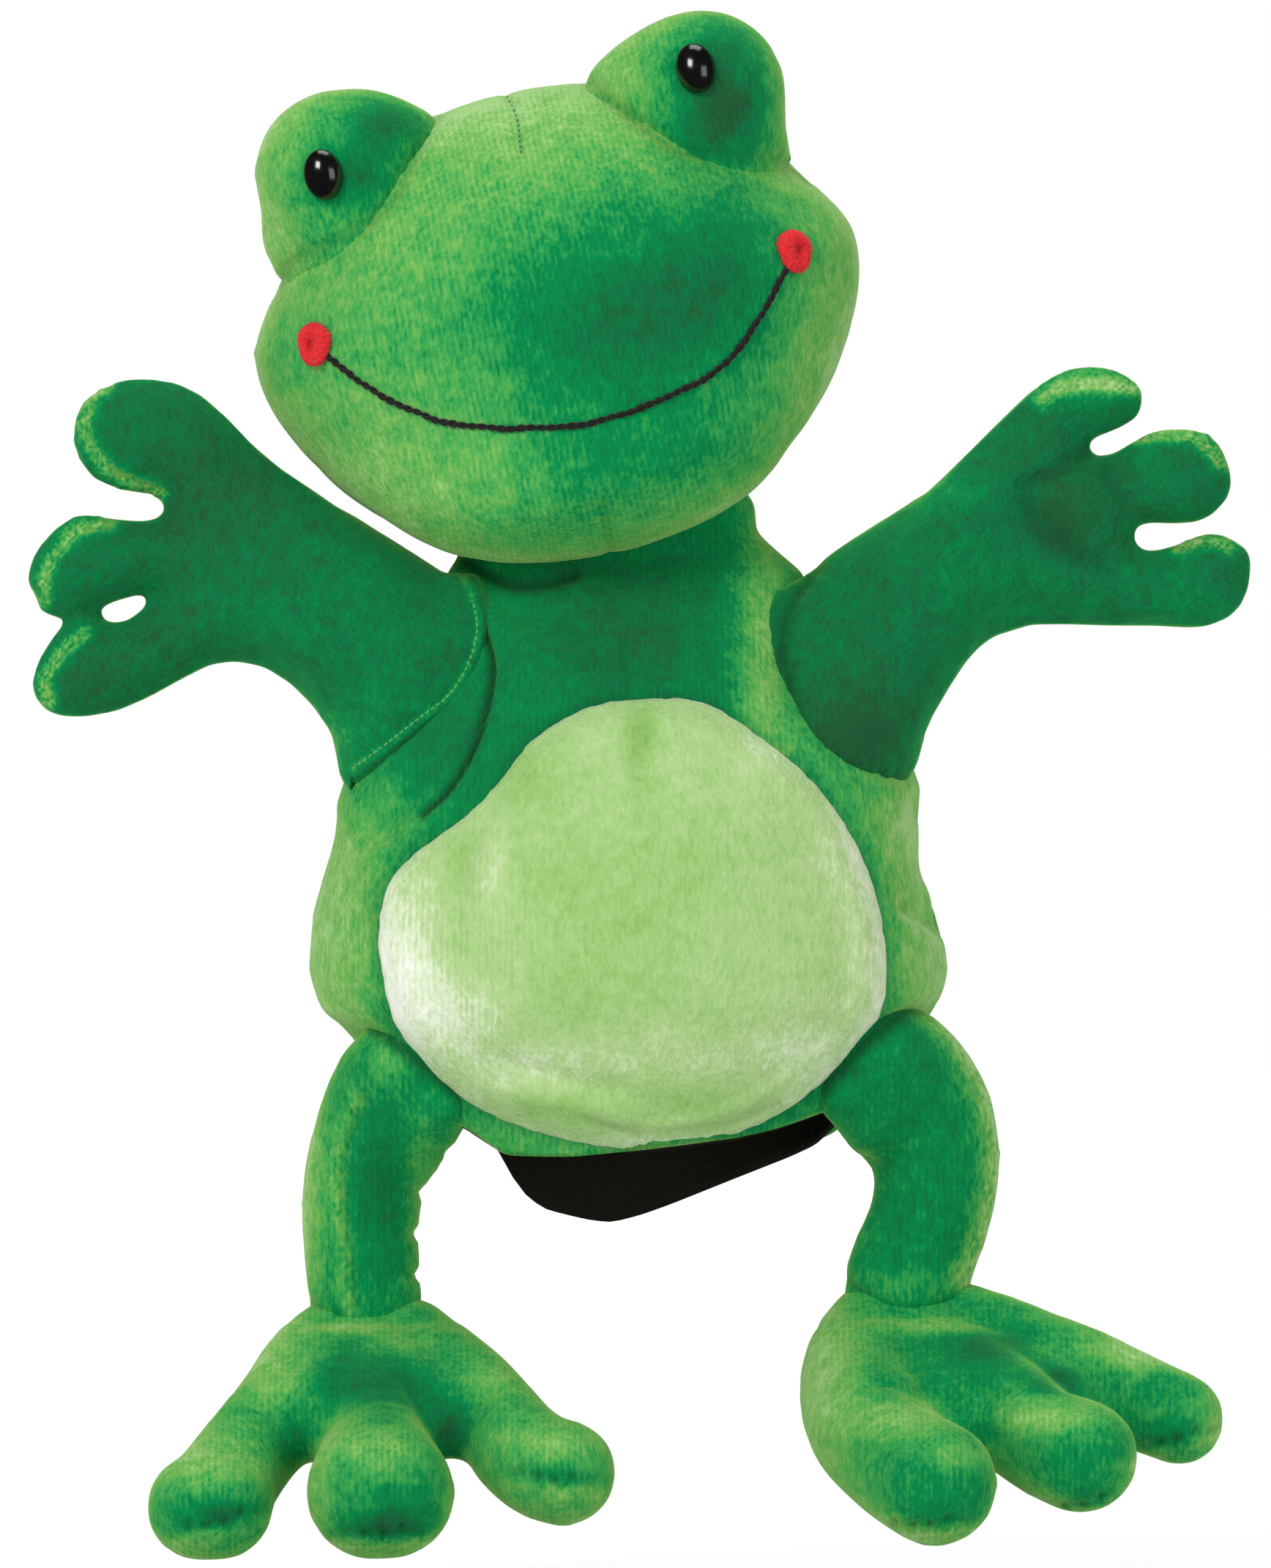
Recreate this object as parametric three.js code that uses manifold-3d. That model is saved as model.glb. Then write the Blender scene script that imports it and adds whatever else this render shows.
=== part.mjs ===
// Frog hand puppet: a plush glove body with a stuffed head, arms, legs and feet.
// Millimetres, +Z up. The face looks along -Y and the puppet's own left is +X.
// The origin is the middle of the hand opening at the front hem.
import * as THREE from 'three';
import { mergeVertices } from 'three/addons/utils/BufferGeometryUtils.js';
import Module from 'manifold-3d';

const wasm = await Module();
wasm.setup();

// Cloth thicknesses and clearances
const PLUSH = 2;
const LINING = 1;
const GAP = 0.4;
const JOINT_GAP = 0.6;

// Body: full widths and depths of the glove, from the hem up to the neck
const HEM_WIDTH = 86;
const HEM_DEPTH = 62;
const HIP_HEIGHT = 27;
const HIP_WIDTH = 122;
const HIP_DEPTH = 88;
const BELLY_HEIGHT = 41;
const BELLY_WIDTH = 131;
const BELLY_DEPTH = 92;
const CHEST_HEIGHT = 76;
const CHEST_WIDTH = 116;
const CHEST_DEPTH = 82;
const SHOULDER_HEIGHT = 97;
const SHOULDER_WIDTH = 82;
const SHOULDER_DEPTH = 72;
const COLLAR_HEIGHT = 110;
const COLLAR_WIDTH = 66;
const COLLAR_DEPTH = 63;
const HEM_SIDE_RISE = 9;
const HEM_BACK_DROP = 13;
const HEM_OVERRUN = 12;

// Neck: a round neck end that the head sits on, pierced for the fingers
const NECK_X = -5;
const NECK_Y = 2;
const NECK_HEIGHT = 126;
const NECK_RADIUS = 29;
const NECK_THROAT = 8;
const NECK_HOLE_RADIUS = 15;
const NECK_SEAM_RADIUS = 0.8;
const NECK_SEAM_LATITUDE = 36;

// Belly patch
const PATCH_WIDTH = 104;
const PATCH_LENGTH = 92;
const PATCH_HEIGHT = 48;
const PATCH_THICKNESS = 1.6;
const PATCH_TAPER = 0.15;

// Head: in its own tilted frame, x across the face and z up the face
const HEAD_TILT = 12;
const HEAD_RISE = 47.8;
const HEAD_WIDTH = 125.2;
const HEAD_TALL = 97;
const HEAD_FRONT = 47;
const HEAD_BACK = 44;
const HEAD_LIFT = -2;
const FINGER_BORE = 12;
const FINGER_TUBE_TOP = 24;

// Eye domes, safety eyes, mouth and cheek knots
const DOME_SPAN = HEAD_WIDTH * 0.591;
const DOME_HEIGHT = HEAD_TALL * 0.345;
const DOME_FORWARD = 10;
const DOME_WIDTH = 36;
const DOME_DEPTH = 36;
const DOME_TALL = 42;
const EYE_SPAN = DOME_SPAN + 5.2;
const EYE_HEIGHT = DOME_HEIGHT + 7.5;
const EYE_WIDTH = 8;
const EYE_TALL = 10;
const EYE_BULGE = 3.6;
const SHANK_RADIUS = 1.3;
const SHANK_LENGTH = 8;
const WASHER_RADIUS = 4;
const WASHER_THICKNESS = 1.2;
const MOUTH_WIDTH = HEAD_WIDTH * 0.751;
const MOUTH_DROP = HEAD_TALL * 0.24;
const MOUTH_CURVE = 3.2;
const MOUTH_CORD = 1.4;
const KNOT_SPAN = HEAD_WIDTH * 0.8;
const KNOT_HEIGHT = HEAD_TALL * 0.035;
const KNOT_WIDTH = 7;
const KNOT_TALL = 9;
const KNOT_THICKNESS = 3;

// Arms: shoulder centres, then the hand measured along and across the raised arm
const SHOULDER_SPAN = 100;
const SHOULDER_FORWARD = 4;
const ARM_HEIGHT = 102;
const ARM_ROOT_RADIUS = 20;
const WRIST_REACH = 32;
const WRIST_RADIUS = 17.5;
const PALM_REACH = 47;
const PALM_SHIFT = -4;
const PALM_WIDTH = 47;
const PALM_DEPTH = 23;
const ARM_BORE = 14;
const ARM_POCKET_REACH = 30;
const LEFT_ARM_RAISE = 36;
const RIGHT_ARM_RAISE = 27;
const FINGER_ROOT_REACH = 34;
const FINGER_ROOT_RADIUS = 11;
const FINGER_ROOT_SPREAD = 0.35;
const FINGER_MID_SPREAD = 0.75;
const FINGER_WAIST = 0.6;
const FINGER_REACH = 72;
// Shares of the finger reach, of the palm width across the hand, and of the palm width for the radius
const LEFT_FINGERS = [
  { reach: 0.944, across: 0.289, radius: 0.179 },
  { reach: 1, across: -0.157, radius: 0.209 },
  { reach: 0.875, across: -0.566, radius: 0.204 },
];
const RIGHT_FINGERS = [
  { reach: 0.951, across: 0.362, radius: 0.217 },
  { reach: 0.889, across: -0.255, radius: 0.213 },
  { reach: 0.764, across: -0.681, radius: 0.192 },
];

// Legs: hip centre, knee and ankle seen from the front, and the tube's radii
const HIP_RADIUS = 13.4;
const KNEE_RADIUS = 12.6;
const ANKLE_RADIUS = 11.6;
const LEG_OPENING = 5;
const RIGHT_HIP = { x: -51.5, z: 11 };
const RIGHT_KNEE = { x: -56.5, z: -8 };
const RIGHT_ANKLE = { x: -54.3, z: -31.5 };
const LEFT_HIP = { x: 54, z: 14 };
const LEFT_KNEE = { x: 62.5, z: -4 };
const LEFT_ANKLE = { x: 56.7, z: -30 };
const HIP_FORWARD = 2;

// Feet: each toe is measured from the ankle, forwards, sideways and down
const HEEL_DROP = 15;
const HEEL_RADIUS = 13;
const INSTEP_REACH = 20;
const INSTEP_DROP = 22;
const INSTEP_RADIUS = 11.5;
const TOE_ROOT_REACH = 7;
const TOE_ROOT_DROP = 17;
const TOE_ROOT_SPREAD = 6;
const WEB_REACH = 38;
const WEB_DROP = 30;
const WEB_WIDTH = 76;
const WEB_THICKNESS = 17;
const MID_TOE_REACH = 52;
const MID_TOE_RADIUS = 14;
const SIDE_TOE_REACH = 44;
const SIDE_TOE_SPREAD = 34;
const SIDE_TOE_RADIUS = 12.6;
const TOE_DROP = 36;
const LEFT_FOOT_TURN = 38;
const RIGHT_FOOT_TURN = 3;
const LEFT_FOOT_TILT = 10;
const RIGHT_FOOT_TILT = 7;

// Facet counts of outer skins, inner faces and round cutters
const SKIN_SIDES = 10;
const INNER_SIDES = 7;
const BODY_SIDES = 22;
const BODY_INNER_SIDES = 14;
const BODY_LEVELS = 10;
const BODY_INNER_LEVELS = 6;
const CUTTER_SIDES = 18;

// Colours
const FINISH = {
  green_plush: { color: 0x1f7a43, roughness: 0.95, metalness: 0 },
  belly_plush: { color: 0xb4d193, roughness: 0.95, metalness: 0 },
  lining_black: { color: 0x1b1914, roughness: 0.9, metalness: 0 },
  stuffing_white: { color: 0xece9df, roughness: 1, metalness: 0 },
  thread_black: { color: 0x14130f, roughness: 0.7, metalness: 0 },
  thread_red: { color: 0xdc1e23, roughness: 0.75, metalness: 0 },
  eye_plastic: { color: 0x050505, roughness: 0.12, metalness: 0 },
  washer_plastic: { color: 0xd8d8d0, roughness: 0.5, metalness: 0 },
};

const X_AXIS = new THREE.Vector3(1, 0, 0);
const Y_AXIS = new THREE.Vector3(0, 1, 0);
const Z_AXIS = new THREE.Vector3(0, 0, 1);
const radians = THREE.MathUtils.degToRad;
const vector = (x, y, z) => new THREE.Vector3(x, y, z);

// Solids from geometries, and back
function solid(geometry) {
  const bare = geometry.clone();
  bare.deleteAttribute('normal');
  bare.deleteAttribute('uv');
  const merged = mergeVertices(bare, 1e-4);
  const corners = [];
  const index = merged.index.array;
  for (let i = 0; i < index.length; i += 3) {
    const [a, b, c] = [index[i], index[i + 1], index[i + 2]];
    if (a !== b && b !== c && c !== a) corners.push(a, b, c);
  }
  return new wasm.Manifold(new wasm.Mesh({
    numProp: 3,
    vertProperties: Float32Array.from(merged.attributes.position.array),
    triVerts: Uint32Array.from(corners),
  }));
}

function geometryOf(body) {
  const mesh = body.getMesh();
  const geometry = new THREE.BufferGeometry();
  geometry.setAttribute('position', new THREE.BufferAttribute(mesh.vertProperties.slice(), 3));
  geometry.setIndex(new THREE.BufferAttribute(mesh.triVerts.slice(), 1));
  geometry.computeVertexNormals();
  return geometry;
}

function piece(name, finish, body) {
  const mesh = new THREE.Mesh(geometryOf(body), new THREE.MeshStandardMaterial(FINISH[finish]));
  mesh.name = name;
  return mesh;
}

const union = (bodies) => bodies.reduce((all, next) => all.add(next));

// Closed skin through rings of points, with a fan on the first and the last ring
function loft(rings) {
  const sides = rings[0].length;
  const points = rings.flat();
  const middle = (ring) => ring.reduce((sum, p) => sum.add(p), vector(0, 0, 0)).divideScalar(sides);
  const first = points.push(middle(rings[0])) - 1;
  const last = points.push(middle(rings[rings.length - 1])) - 1;
  const index = [];
  for (let side = 0; side < sides; side += 1) {
    const next = (side + 1) % sides;
    index.push(first, next, side);
    for (let ring = 0; ring < rings.length - 1; ring += 1) {
      const low = ring * sides;
      const high = low + sides;
      index.push(low + side, low + next, high + next, low + side, high + next, high + side);
    }
    const top = (rings.length - 1) * sides;
    index.push(last, top + side, top + next);
  }
  const geometry = new THREE.BufferGeometry().setFromPoints(points);
  geometry.setIndex(index);
  const body = solid(geometry);
  return body.volume() > 0 ? body : solid(turnedInsideOut(geometry));
}

function turnedInsideOut(geometry) {
  geometry.setIndex(Array.from(geometry.index.array).reverse());
  return geometry;
}

// Limb along a smooth path with rounded ends; depths flatten it along the depth axis
function limb({ path, radii, depths = radii, inset = 0, sides = SKIN_SIDES, steps = 5, depth = Y_AXIS }) {
  const spine = new THREE.CatmullRomCurve3(path);
  const girth = new THREE.CatmullRomCurve3(radii.map((r, i) => vector(r - inset, depths[i] - inset, 0)));
  const rings = [];
  const addRing = (centre, tangent, wide, deep) => {
    const across = vector(0, 0, 0).crossVectors(tangent, depth).normalize();
    const through = vector(0, 0, 0).crossVectors(across, tangent).normalize();
    const ring = [];
    for (let side = 0; side < sides; side += 1) {
      const turn = (2 * Math.PI * side) / sides;
      const point = centre.clone().addScaledVector(across, wide * Math.cos(turn));
      ring.push(point.addScaledVector(through, deep * Math.sin(turn)));
    }
    rings.push(ring);
  };
  const addCap = (t, sign) => {
    const centre = spine.getPoint(t);
    const tangent = spine.getTangent(t);
    const { x: wide, y: deep } = girth.getPoint(t);
    const capTurns = sign < 0 ? [66, 34] : [34, 66];
    for (const turn of capTurns) {
      const rise = deep * Math.sin(radians(turn));
      const drawnIn = deep * (1 - Math.cos(radians(turn)));
      addRing(centre.clone().addScaledVector(tangent, sign * rise), tangent, wide - drawnIn, deep - drawnIn);
    }
  };
  addCap(0, -1);
  for (let step = 0; step <= steps; step += 1) {
    const t = step / steps;
    const { x: wide, y: deep } = girth.getPoint(t);
    addRing(spine.getPoint(t), spine.getTangent(t), wide, deep);
  }
  addCap(1, 1);
  return loft(rings);
}

function ball(centre, radius, sides = CUTTER_SIDES) {
  const geometry = new THREE.SphereGeometry(radius, sides, sides / 2);
  return solid(geometry.translate(centre.x, centre.y, centre.z));
}

function ellipsoid(centre, size, inset, sides) {
  const geometry = new THREE.SphereGeometry(1, sides, Math.round(sides * 0.6));
  geometry.rotateX(Math.PI / 2);
  geometry.scale(size.x / 2 - inset, size.y / 2 - inset, size.z / 2 - inset);
  return solid(geometry.translate(centre.x, centre.y, centre.z));
}

function rod(from, to, radius, sides = CUTTER_SIDES) {
  const length = from.distanceTo(to);
  const geometry = new THREE.CylinderGeometry(radius, radius, length, sides);
  const towards = to.clone().sub(from).normalize();
  const turn = new THREE.Quaternion().setFromUnitVectors(Y_AXIS, towards);
  const middle = from.clone().lerp(to, 0.5);
  return solid(geometry.applyQuaternion(turn).translate(middle.x, middle.y, middle.z));
}

function block(low, high) {
  const size = high.clone().sub(low);
  const middle = low.clone().lerp(high, 0.5);
  return solid(new THREE.BoxGeometry(size.x, size.y, size.z).translate(middle.x, middle.y, middle.z));
}

// Where the joints are
const neckPivot = vector(NECK_X, NECK_Y, NECK_HEIGHT);
const headUp = vector(-Math.sin(radians(HEAD_TILT)), 0, Math.cos(radians(HEAD_TILT)));
const headCentre = neckPivot.clone().addScaledVector(headUp, HEAD_RISE);
const SIDES = {
  left: {
    sign: 1,
    raise: LEFT_ARM_RAISE,
    fingers: LEFT_FINGERS,
    hip: LEFT_HIP,
    knee: LEFT_KNEE,
    ankle: LEFT_ANKLE,
    footTurn: LEFT_FOOT_TURN,
    footTilt: LEFT_FOOT_TILT,
  },
  right: {
    sign: -1,
    raise: RIGHT_ARM_RAISE,
    fingers: RIGHT_FINGERS,
    hip: RIGHT_HIP,
    knee: RIGHT_KNEE,
    ankle: RIGHT_ANKLE,
    footTurn: RIGHT_FOOT_TURN,
    footTilt: RIGHT_FOOT_TILT,
  },
};
const shoulderOf = (side) => vector(side.sign * SHOULDER_SPAN / 2, -SHOULDER_FORWARD, ARM_HEIGHT);
const hipOf = (side) => vector(side.hip.x, -HIP_FORWARD, side.hip.z);
const ankleOf = (side) => vector(side.ankle.x, -HIP_FORWARD, side.ankle.z);

// Body: oval rings from the hem to the collar, then the round neck end
const throatRadius = Math.sqrt(NECK_RADIUS ** 2 - NECK_THROAT ** 2);
const bodyStations = [
  { z: 0, width: HEM_WIDTH, depth: HEM_DEPTH },
  { z: HIP_HEIGHT, width: HIP_WIDTH, depth: HIP_DEPTH },
  { z: BELLY_HEIGHT, width: BELLY_WIDTH, depth: BELLY_DEPTH },
  { z: CHEST_HEIGHT, width: CHEST_WIDTH, depth: CHEST_DEPTH },
  { z: SHOULDER_HEIGHT, width: SHOULDER_WIDTH, depth: SHOULDER_DEPTH },
  { z: COLLAR_HEIGHT, width: COLLAR_WIDTH, depth: COLLAR_DEPTH },
  { z: NECK_HEIGHT - NECK_THROAT, width: 2 * throatRadius, depth: 2 * throatRadius },
  { z: NECK_HEIGHT, width: 2 * NECK_RADIUS, depth: 2 * NECK_RADIUS },
];
const bodyProfile = new THREE.CatmullRomCurve3(
  bodyStations.map((s) => vector(s.width / 2, s.depth / 2, s.z)), false, 'centripetal');

// How far the hem lies above or below z = 0 at a turn around the body, front at 0
function hemLevel(turn) {
  const across = Math.sin(turn) ** 2;
  const middle = Math.cos(turn) > 0 ? 0 : -HEM_BACK_DROP;
  return middle + (HEM_SIDE_RISE - middle) * across;
}

function bodyRing(width, depth, z, lean, hem, sides) {
  const ring = [];
  for (let side = 0; side < sides; side += 1) {
    const turn = (2 * Math.PI * side) / sides;
    const x = NECK_X * lean + width * Math.sin(turn);
    const y = NECK_Y * lean - depth * Math.cos(turn);
    ring.push(vector(x, y, z + hem * hemLevel(turn)));
  }
  return ring;
}

function bodyForm(inset, sides, levels, extraLength = 0) {
  const rings = [];
  const leanFrom = CHEST_HEIGHT;
  if (extraLength > 0) {
    rings.push(bodyRing(HEM_WIDTH / 2 - inset, HEM_DEPTH / 2 - inset, -extraLength, 0, 1, sides));
  }
  for (let level = 0; level <= levels; level += 1) {
    const { x: width, y: depth, z } = bodyProfile.getPoint(level / levels);
    const lean = THREE.MathUtils.smoothstep(z, leanFrom, NECK_HEIGHT);
    const hem = 1 - THREE.MathUtils.smoothstep(z, 0, BELLY_HEIGHT);
    rings.push(bodyRing(width - inset, depth - inset, z, lean, hem, sides));
  }
  for (const latitude of [20, 40, 62]) {
    const radius = (NECK_RADIUS - inset) * Math.cos(radians(latitude));
    const z = NECK_HEIGHT + (NECK_RADIUS - inset) * Math.sin(radians(latitude));
    rings.push(bodyRing(radius, radius, z, 1, 0, sides));
  }
  return loft(rings);
}

// Round holes of the body where the neck, arms and legs go in
function bodyHoles() {
  const aboveNeck = neckPivot.clone().addScaledVector(Z_AXIS, 2 * NECK_RADIUS);
  const holes = [rod(neckPivot, aboveNeck, NECK_HOLE_RADIUS)];
  for (const side of Object.values(SIDES)) {
    holes.push(ball(shoulderOf(side), ARM_ROOT_RADIUS + JOINT_GAP));
    holes.push(ball(hipOf(side), HIP_RADIUS + JOINT_GAP));
  }
  return union(holes);
}

const REACH = 400;
const frontHalf = block(vector(-REACH, -REACH, -REACH), vector(REACH, -GAP / 2, REACH));
const backHalf = block(vector(-REACH, GAP / 2, -REACH), vector(REACH, REACH, REACH));
const belowNeck = block(vector(-REACH, -REACH, -REACH), vector(REACH, REACH, NECK_HEIGHT));

function makeBody() {
  const holes = bodyHoles();
  const inner = (inset, overrun) => bodyForm(inset, BODY_INNER_SIDES, BODY_INNER_LEVELS, overrun);
  const plush = bodyForm(0, BODY_SIDES, BODY_LEVELS).subtract(inner(PLUSH, HEM_OVERRUN)).subtract(holes);
  const liningOuter = PLUSH + GAP;
  const lining = inner(liningOuter, 0).subtract(inner(liningOuter + LINING, HEM_OVERRUN))
    .subtract(holes).intersect(belowNeck);
  return [
    piece('body_front_panel', 'green_plush', plush.intersect(frontHalf)),
    piece('body_back_panel', 'green_plush', plush.intersect(backHalf)),
    piece('lining_front', 'lining_black', lining.intersect(frontHalf)),
    piece('lining_back', 'lining_black', lining.intersect(backHalf)),
    piece('belly_patch', 'belly_plush', patchBody().subtract(holes)),
  ];
}

// Pale egg on the front panel, the narrow end up
function patchBody() {
  const outline = new THREE.Shape();
  const corners = 30;
  for (let corner = 0; corner < corners; corner += 1) {
    const turn = (2 * Math.PI * corner) / corners;
    const x = (PATCH_WIDTH / 2) * Math.sin(turn) * (1 - PATCH_TAPER * Math.cos(turn));
    const z = PATCH_HEIGHT + (PATCH_LENGTH / 2) * Math.cos(turn);
    if (corner === 0) outline.moveTo(x, z);
    else outline.lineTo(x, z);
  }
  const column = new THREE.ExtrudeGeometry(outline, { depth: REACH, bevelEnabled: false });
  const egg = solid(column.rotateX(Math.PI / 2));
  const layer = bodyForm(-GAP - PATCH_THICKNESS, BODY_SIDES, BODY_LEVELS)
    .subtract(bodyForm(-GAP, BODY_SIDES, BODY_LEVELS, HEM_BACK_DROP));
  return layer.intersect(egg).intersect(frontHalf);
}

// Head, in its own frame: an oval bag, deeper in front than behind
function headForm(inset, sides) {
  const geometry = new THREE.SphereGeometry(1, sides, Math.round(sides * 0.6));
  geometry.rotateX(Math.PI / 2);
  const place = geometry.attributes.position;
  for (let i = 0; i < place.count; i += 1) {
    const deep = place.getY(i) < 0 ? HEAD_FRONT : HEAD_BACK;
    const x = place.getX(i) * (HEAD_WIDTH / 2 - inset);
    const y = place.getY(i) * (deep - inset);
    place.setXYZ(i, x, y, HEAD_LIFT + place.getZ(i) * (HEAD_TALL / 2 - inset));
  }
  return solid(geometry);
}

// Point on the face and the direction it looks in, at x across and z up the head
function onFace(x, z) {
  const across = x / (HEAD_WIDTH / 2);
  const up = (z - HEAD_LIFT) / (HEAD_TALL / 2);
  const out = Math.sqrt(Math.max(0, 1 - across ** 2 - up ** 2));
  const look = vector(across / (HEAD_WIDTH / 2), -out / HEAD_FRONT, up / (HEAD_TALL / 2));
  return { point: vector(x, -HEAD_FRONT * out, z), look: look.normalize() };
}

const neckInHead = vector(0, 0, -HEAD_RISE);

function neckSocket(extra) {
  return ball(neckInHead, NECK_RADIUS + JOINT_GAP + extra, BODY_SIDES);
}

// Thread ring that gathers the head's neck hole on the round neck
function seamRing() {
  const reach = NECK_RADIUS + JOINT_GAP + NECK_SEAM_RADIUS;
  const radius = reach * Math.cos(radians(NECK_SEAM_LATITUDE));
  const ring = new THREE.TorusGeometry(radius, NECK_SEAM_RADIUS, 5, BODY_INNER_SIDES);
  return solid(ring.translate(0, 0, neckInHead.z + reach * Math.sin(radians(NECK_SEAM_LATITUDE))));
}

function domeForm(sign, inset, sides) {
  const centre = vector(sign * DOME_SPAN / 2, -DOME_FORWARD, DOME_HEIGHT);
  return ellipsoid(centre, vector(DOME_WIDTH, DOME_DEPTH, DOME_TALL), inset, sides);
}

// Point on the front of an eye dome and the direction it looks in
function onDome(sign) {
  const across = (sign * (EYE_SPAN - DOME_SPAN) / 2) / (DOME_WIDTH / 2);
  const up = (EYE_HEIGHT - DOME_HEIGHT) / (DOME_TALL / 2);
  const out = Math.sqrt(1 - across ** 2 - up ** 2);
  const look = vector(across / (DOME_WIDTH / 2), -out / (DOME_DEPTH / 2), up / (DOME_TALL / 2));
  const y = -DOME_FORWARD - (DOME_DEPTH / 2) * out;
  return { point: vector(sign * EYE_SPAN / 2, y, EYE_HEIGHT), look: look.normalize() };
}

function makeHead() {
  const socket = neckSocket(0);
  const fillSocket = neckSocket(2 * NECK_SEAM_RADIUS + GAP);
  const tubeOuter = FINGER_BORE + LINING;
  const tubeFoot = neckInHead.clone().addScaledVector(Z_AXIS, NECK_RADIUS + JOINT_GAP);
  const tubeTop = vector(0, 0, FINGER_TUBE_TOP);
  const boreTop = tubeTop.clone().addScaledVector(Z_AXIS, LINING + GAP);
  const below = neckInHead;
  const skin = headForm(0, BODY_SIDES).subtract(headForm(PLUSH, BODY_INNER_SIDES)).subtract(socket);
  const fill = headForm(PLUSH + GAP, BODY_INNER_SIDES).subtract(fillSocket)
    .subtract(rod(below, boreTop, tubeOuter + GAP));
  const tube = rod(tubeFoot, tubeTop.clone().addScaledVector(Z_AXIS, LINING), tubeOuter, BODY_INNER_SIDES)
    .subtract(rod(below, tubeTop, FINGER_BORE, BODY_INNER_SIDES)).subtract(socket);
  const pieces = [
    piece('head_skin', 'green_plush', skin),
    piece('head_stuffing', 'stuffing_white', fill),
    piece('head_finger_tube', 'lining_black', tube),
    piece('neck_seam', 'thread_black', seamRing()),
    piece('mouth_thread', 'thread_black', mouthCord()),
  ];
  for (const [name, side] of Object.entries(SIDES)) pieces.push(...eyeAndCheek(name, side.sign));
  const group = new THREE.Group();
  group.add(...pieces);
  group.position.copy(headCentre);
  group.rotation.y = -radians(HEAD_TILT);
  return group;
}

function mouthCord() {
  const path = [];
  const stitches = 12;
  for (let stitch = 0; stitch <= stitches; stitch += 1) {
    const x = (stitch / stitches - 0.5) * MOUTH_WIDTH;
    const bend = Math.abs(x / (MOUTH_WIDTH / 2)) ** MOUTH_CURVE;
    const { point, look } = onFace(x, -MOUTH_DROP * (1 - bend));
    path.push(point.addScaledVector(look, MOUTH_CORD / 2 + GAP));
  }
  return limb({ path, radii: [MOUTH_CORD / 2, MOUTH_CORD / 2], sides: 5, steps: stitches + 4 });
}

// Turned shape placed with its axis along a look direction
function turned(profile, place, scaleX, scaleZ, sides) {
  const geometry = new THREE.LatheGeometry(profile.map(([r, h]) => new THREE.Vector2(r, h)), sides);
  geometry.scale(scaleX, 1, scaleZ);
  const turn = new THREE.Quaternion().setFromUnitVectors(Y_AXIS, place.look);
  geometry.applyQuaternion(turn);
  const body = solid(geometry.translate(place.point.x, place.point.y, place.point.z));
  return body.volume() > 0 ? body : solid(turnedInsideOut(mergeVertices(geometry)));
}

function eyeAndCheek(name, sign) {
  const dome = onDome(sign);
  const inward = dome.look.clone().negate();
  const at = (depth) => dome.point.clone().addScaledVector(inward, depth);
  const washerDepth = PLUSH + GAP;
  const shankHole = rod(at(-GAP), at(SHANK_LENGTH + GAP), SHANK_RADIUS + GAP, 8);
  const pocketFloor = SHANK_LENGTH + GAP;
  const washerPocket = rod(at(PLUSH), at(pocketFloor), WASHER_RADIUS + GAP, 12);
  const seat = headForm(-GAP, BODY_SIDES);
  const skin = domeForm(sign, 0, 16).subtract(domeForm(sign, PLUSH, 10)).subtract(seat)
    .subtract(shankHole).subtract(washerPocket);
  const fill = domeForm(sign, PLUSH + GAP, 10).subtract(seat).subtract(washerPocket).subtract(shankHole);
  const bead = turned(eyeProfile(), { point: at(-GAP), look: dome.look }, EYE_WIDTH / EYE_TALL, 1, 12);
  const shank = rod(at(-GAP - EYE_BULGE / 2), at(SHANK_LENGTH), SHANK_RADIUS, 8);
  const washer = rod(at(washerDepth), at(washerDepth + WASHER_THICKNESS), WASHER_RADIUS, 12)
    .subtract(rod(at(0), at(SHANK_LENGTH), SHANK_RADIUS + GAP, 8));
  const cheek = onFace(sign * KNOT_SPAN / 2, KNOT_HEIGHT);
  cheek.point.addScaledVector(cheek.look, GAP);
  const knot = turned(knotProfile(), cheek, KNOT_WIDTH / KNOT_TALL, 1, 14);
  return [
    piece(`${name}_eye_dome`, 'green_plush', skin),
    piece(`${name}_dome_stuffing`, 'stuffing_white', fill),
    piece(`${name}_eye`, 'eye_plastic', bead.add(shank)),
    piece(`${name}_eye_washer`, 'washer_plastic', washer),
    piece(`${name}_cheek_knot`, 'thread_red', knot),
  ];
}

// Low dome with a flat back
function eyeProfile() {
  const profile = [[0, 0]];
  for (const turn of [0, 22, 45, 68]) {
    profile.push([(EYE_TALL / 2) * Math.cos(radians(turn)), EYE_BULGE * Math.sin(radians(turn))]);
  }
  return [...profile, [0, EYE_BULGE]];
}

// Fat ring of thread with a dimple in the middle
function knotProfile() {
  const rim = KNOT_TALL / 2;
  return [
    [0, 0],
    [rim * 0.85, 0],
    [rim, KNOT_THICKNESS * 0.4],
    [rim * 0.85, KNOT_THICKNESS * 0.85],
    [rim * 0.55, KNOT_THICKNESS],
    [rim * 0.25, KNOT_THICKNESS * 0.75],
    [0, KNOT_THICKNESS * 0.55],
  ];
}

// Arms: a sleeve from the round shoulder end to the wrist, a palm and three fingers
function armFrame(side) {
  const raise = radians(side.raise);
  const along = vector(side.sign * Math.cos(raise), 0, Math.sin(raise));
  const across = vector(-side.sign * Math.sin(raise), 0, Math.cos(raise));
  const shoulder = shoulderOf(side);
  const at = (reach, over) => shoulder.clone().addScaledVector(along, reach).addScaledVector(across, over);
  return { at, along };
}

function sleeveForm(side, inset, sides) {
  const { at } = armFrame(side);
  return limb({
    path: [at(0, 0), at(WRIST_REACH / 2, 0), at(WRIST_REACH, 0)],
    radii: [ARM_ROOT_RADIUS, (ARM_ROOT_RADIUS + WRIST_RADIUS) / 2, WRIST_RADIUS],
    inset,
    sides,
    steps: 4,
  });
}

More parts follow.
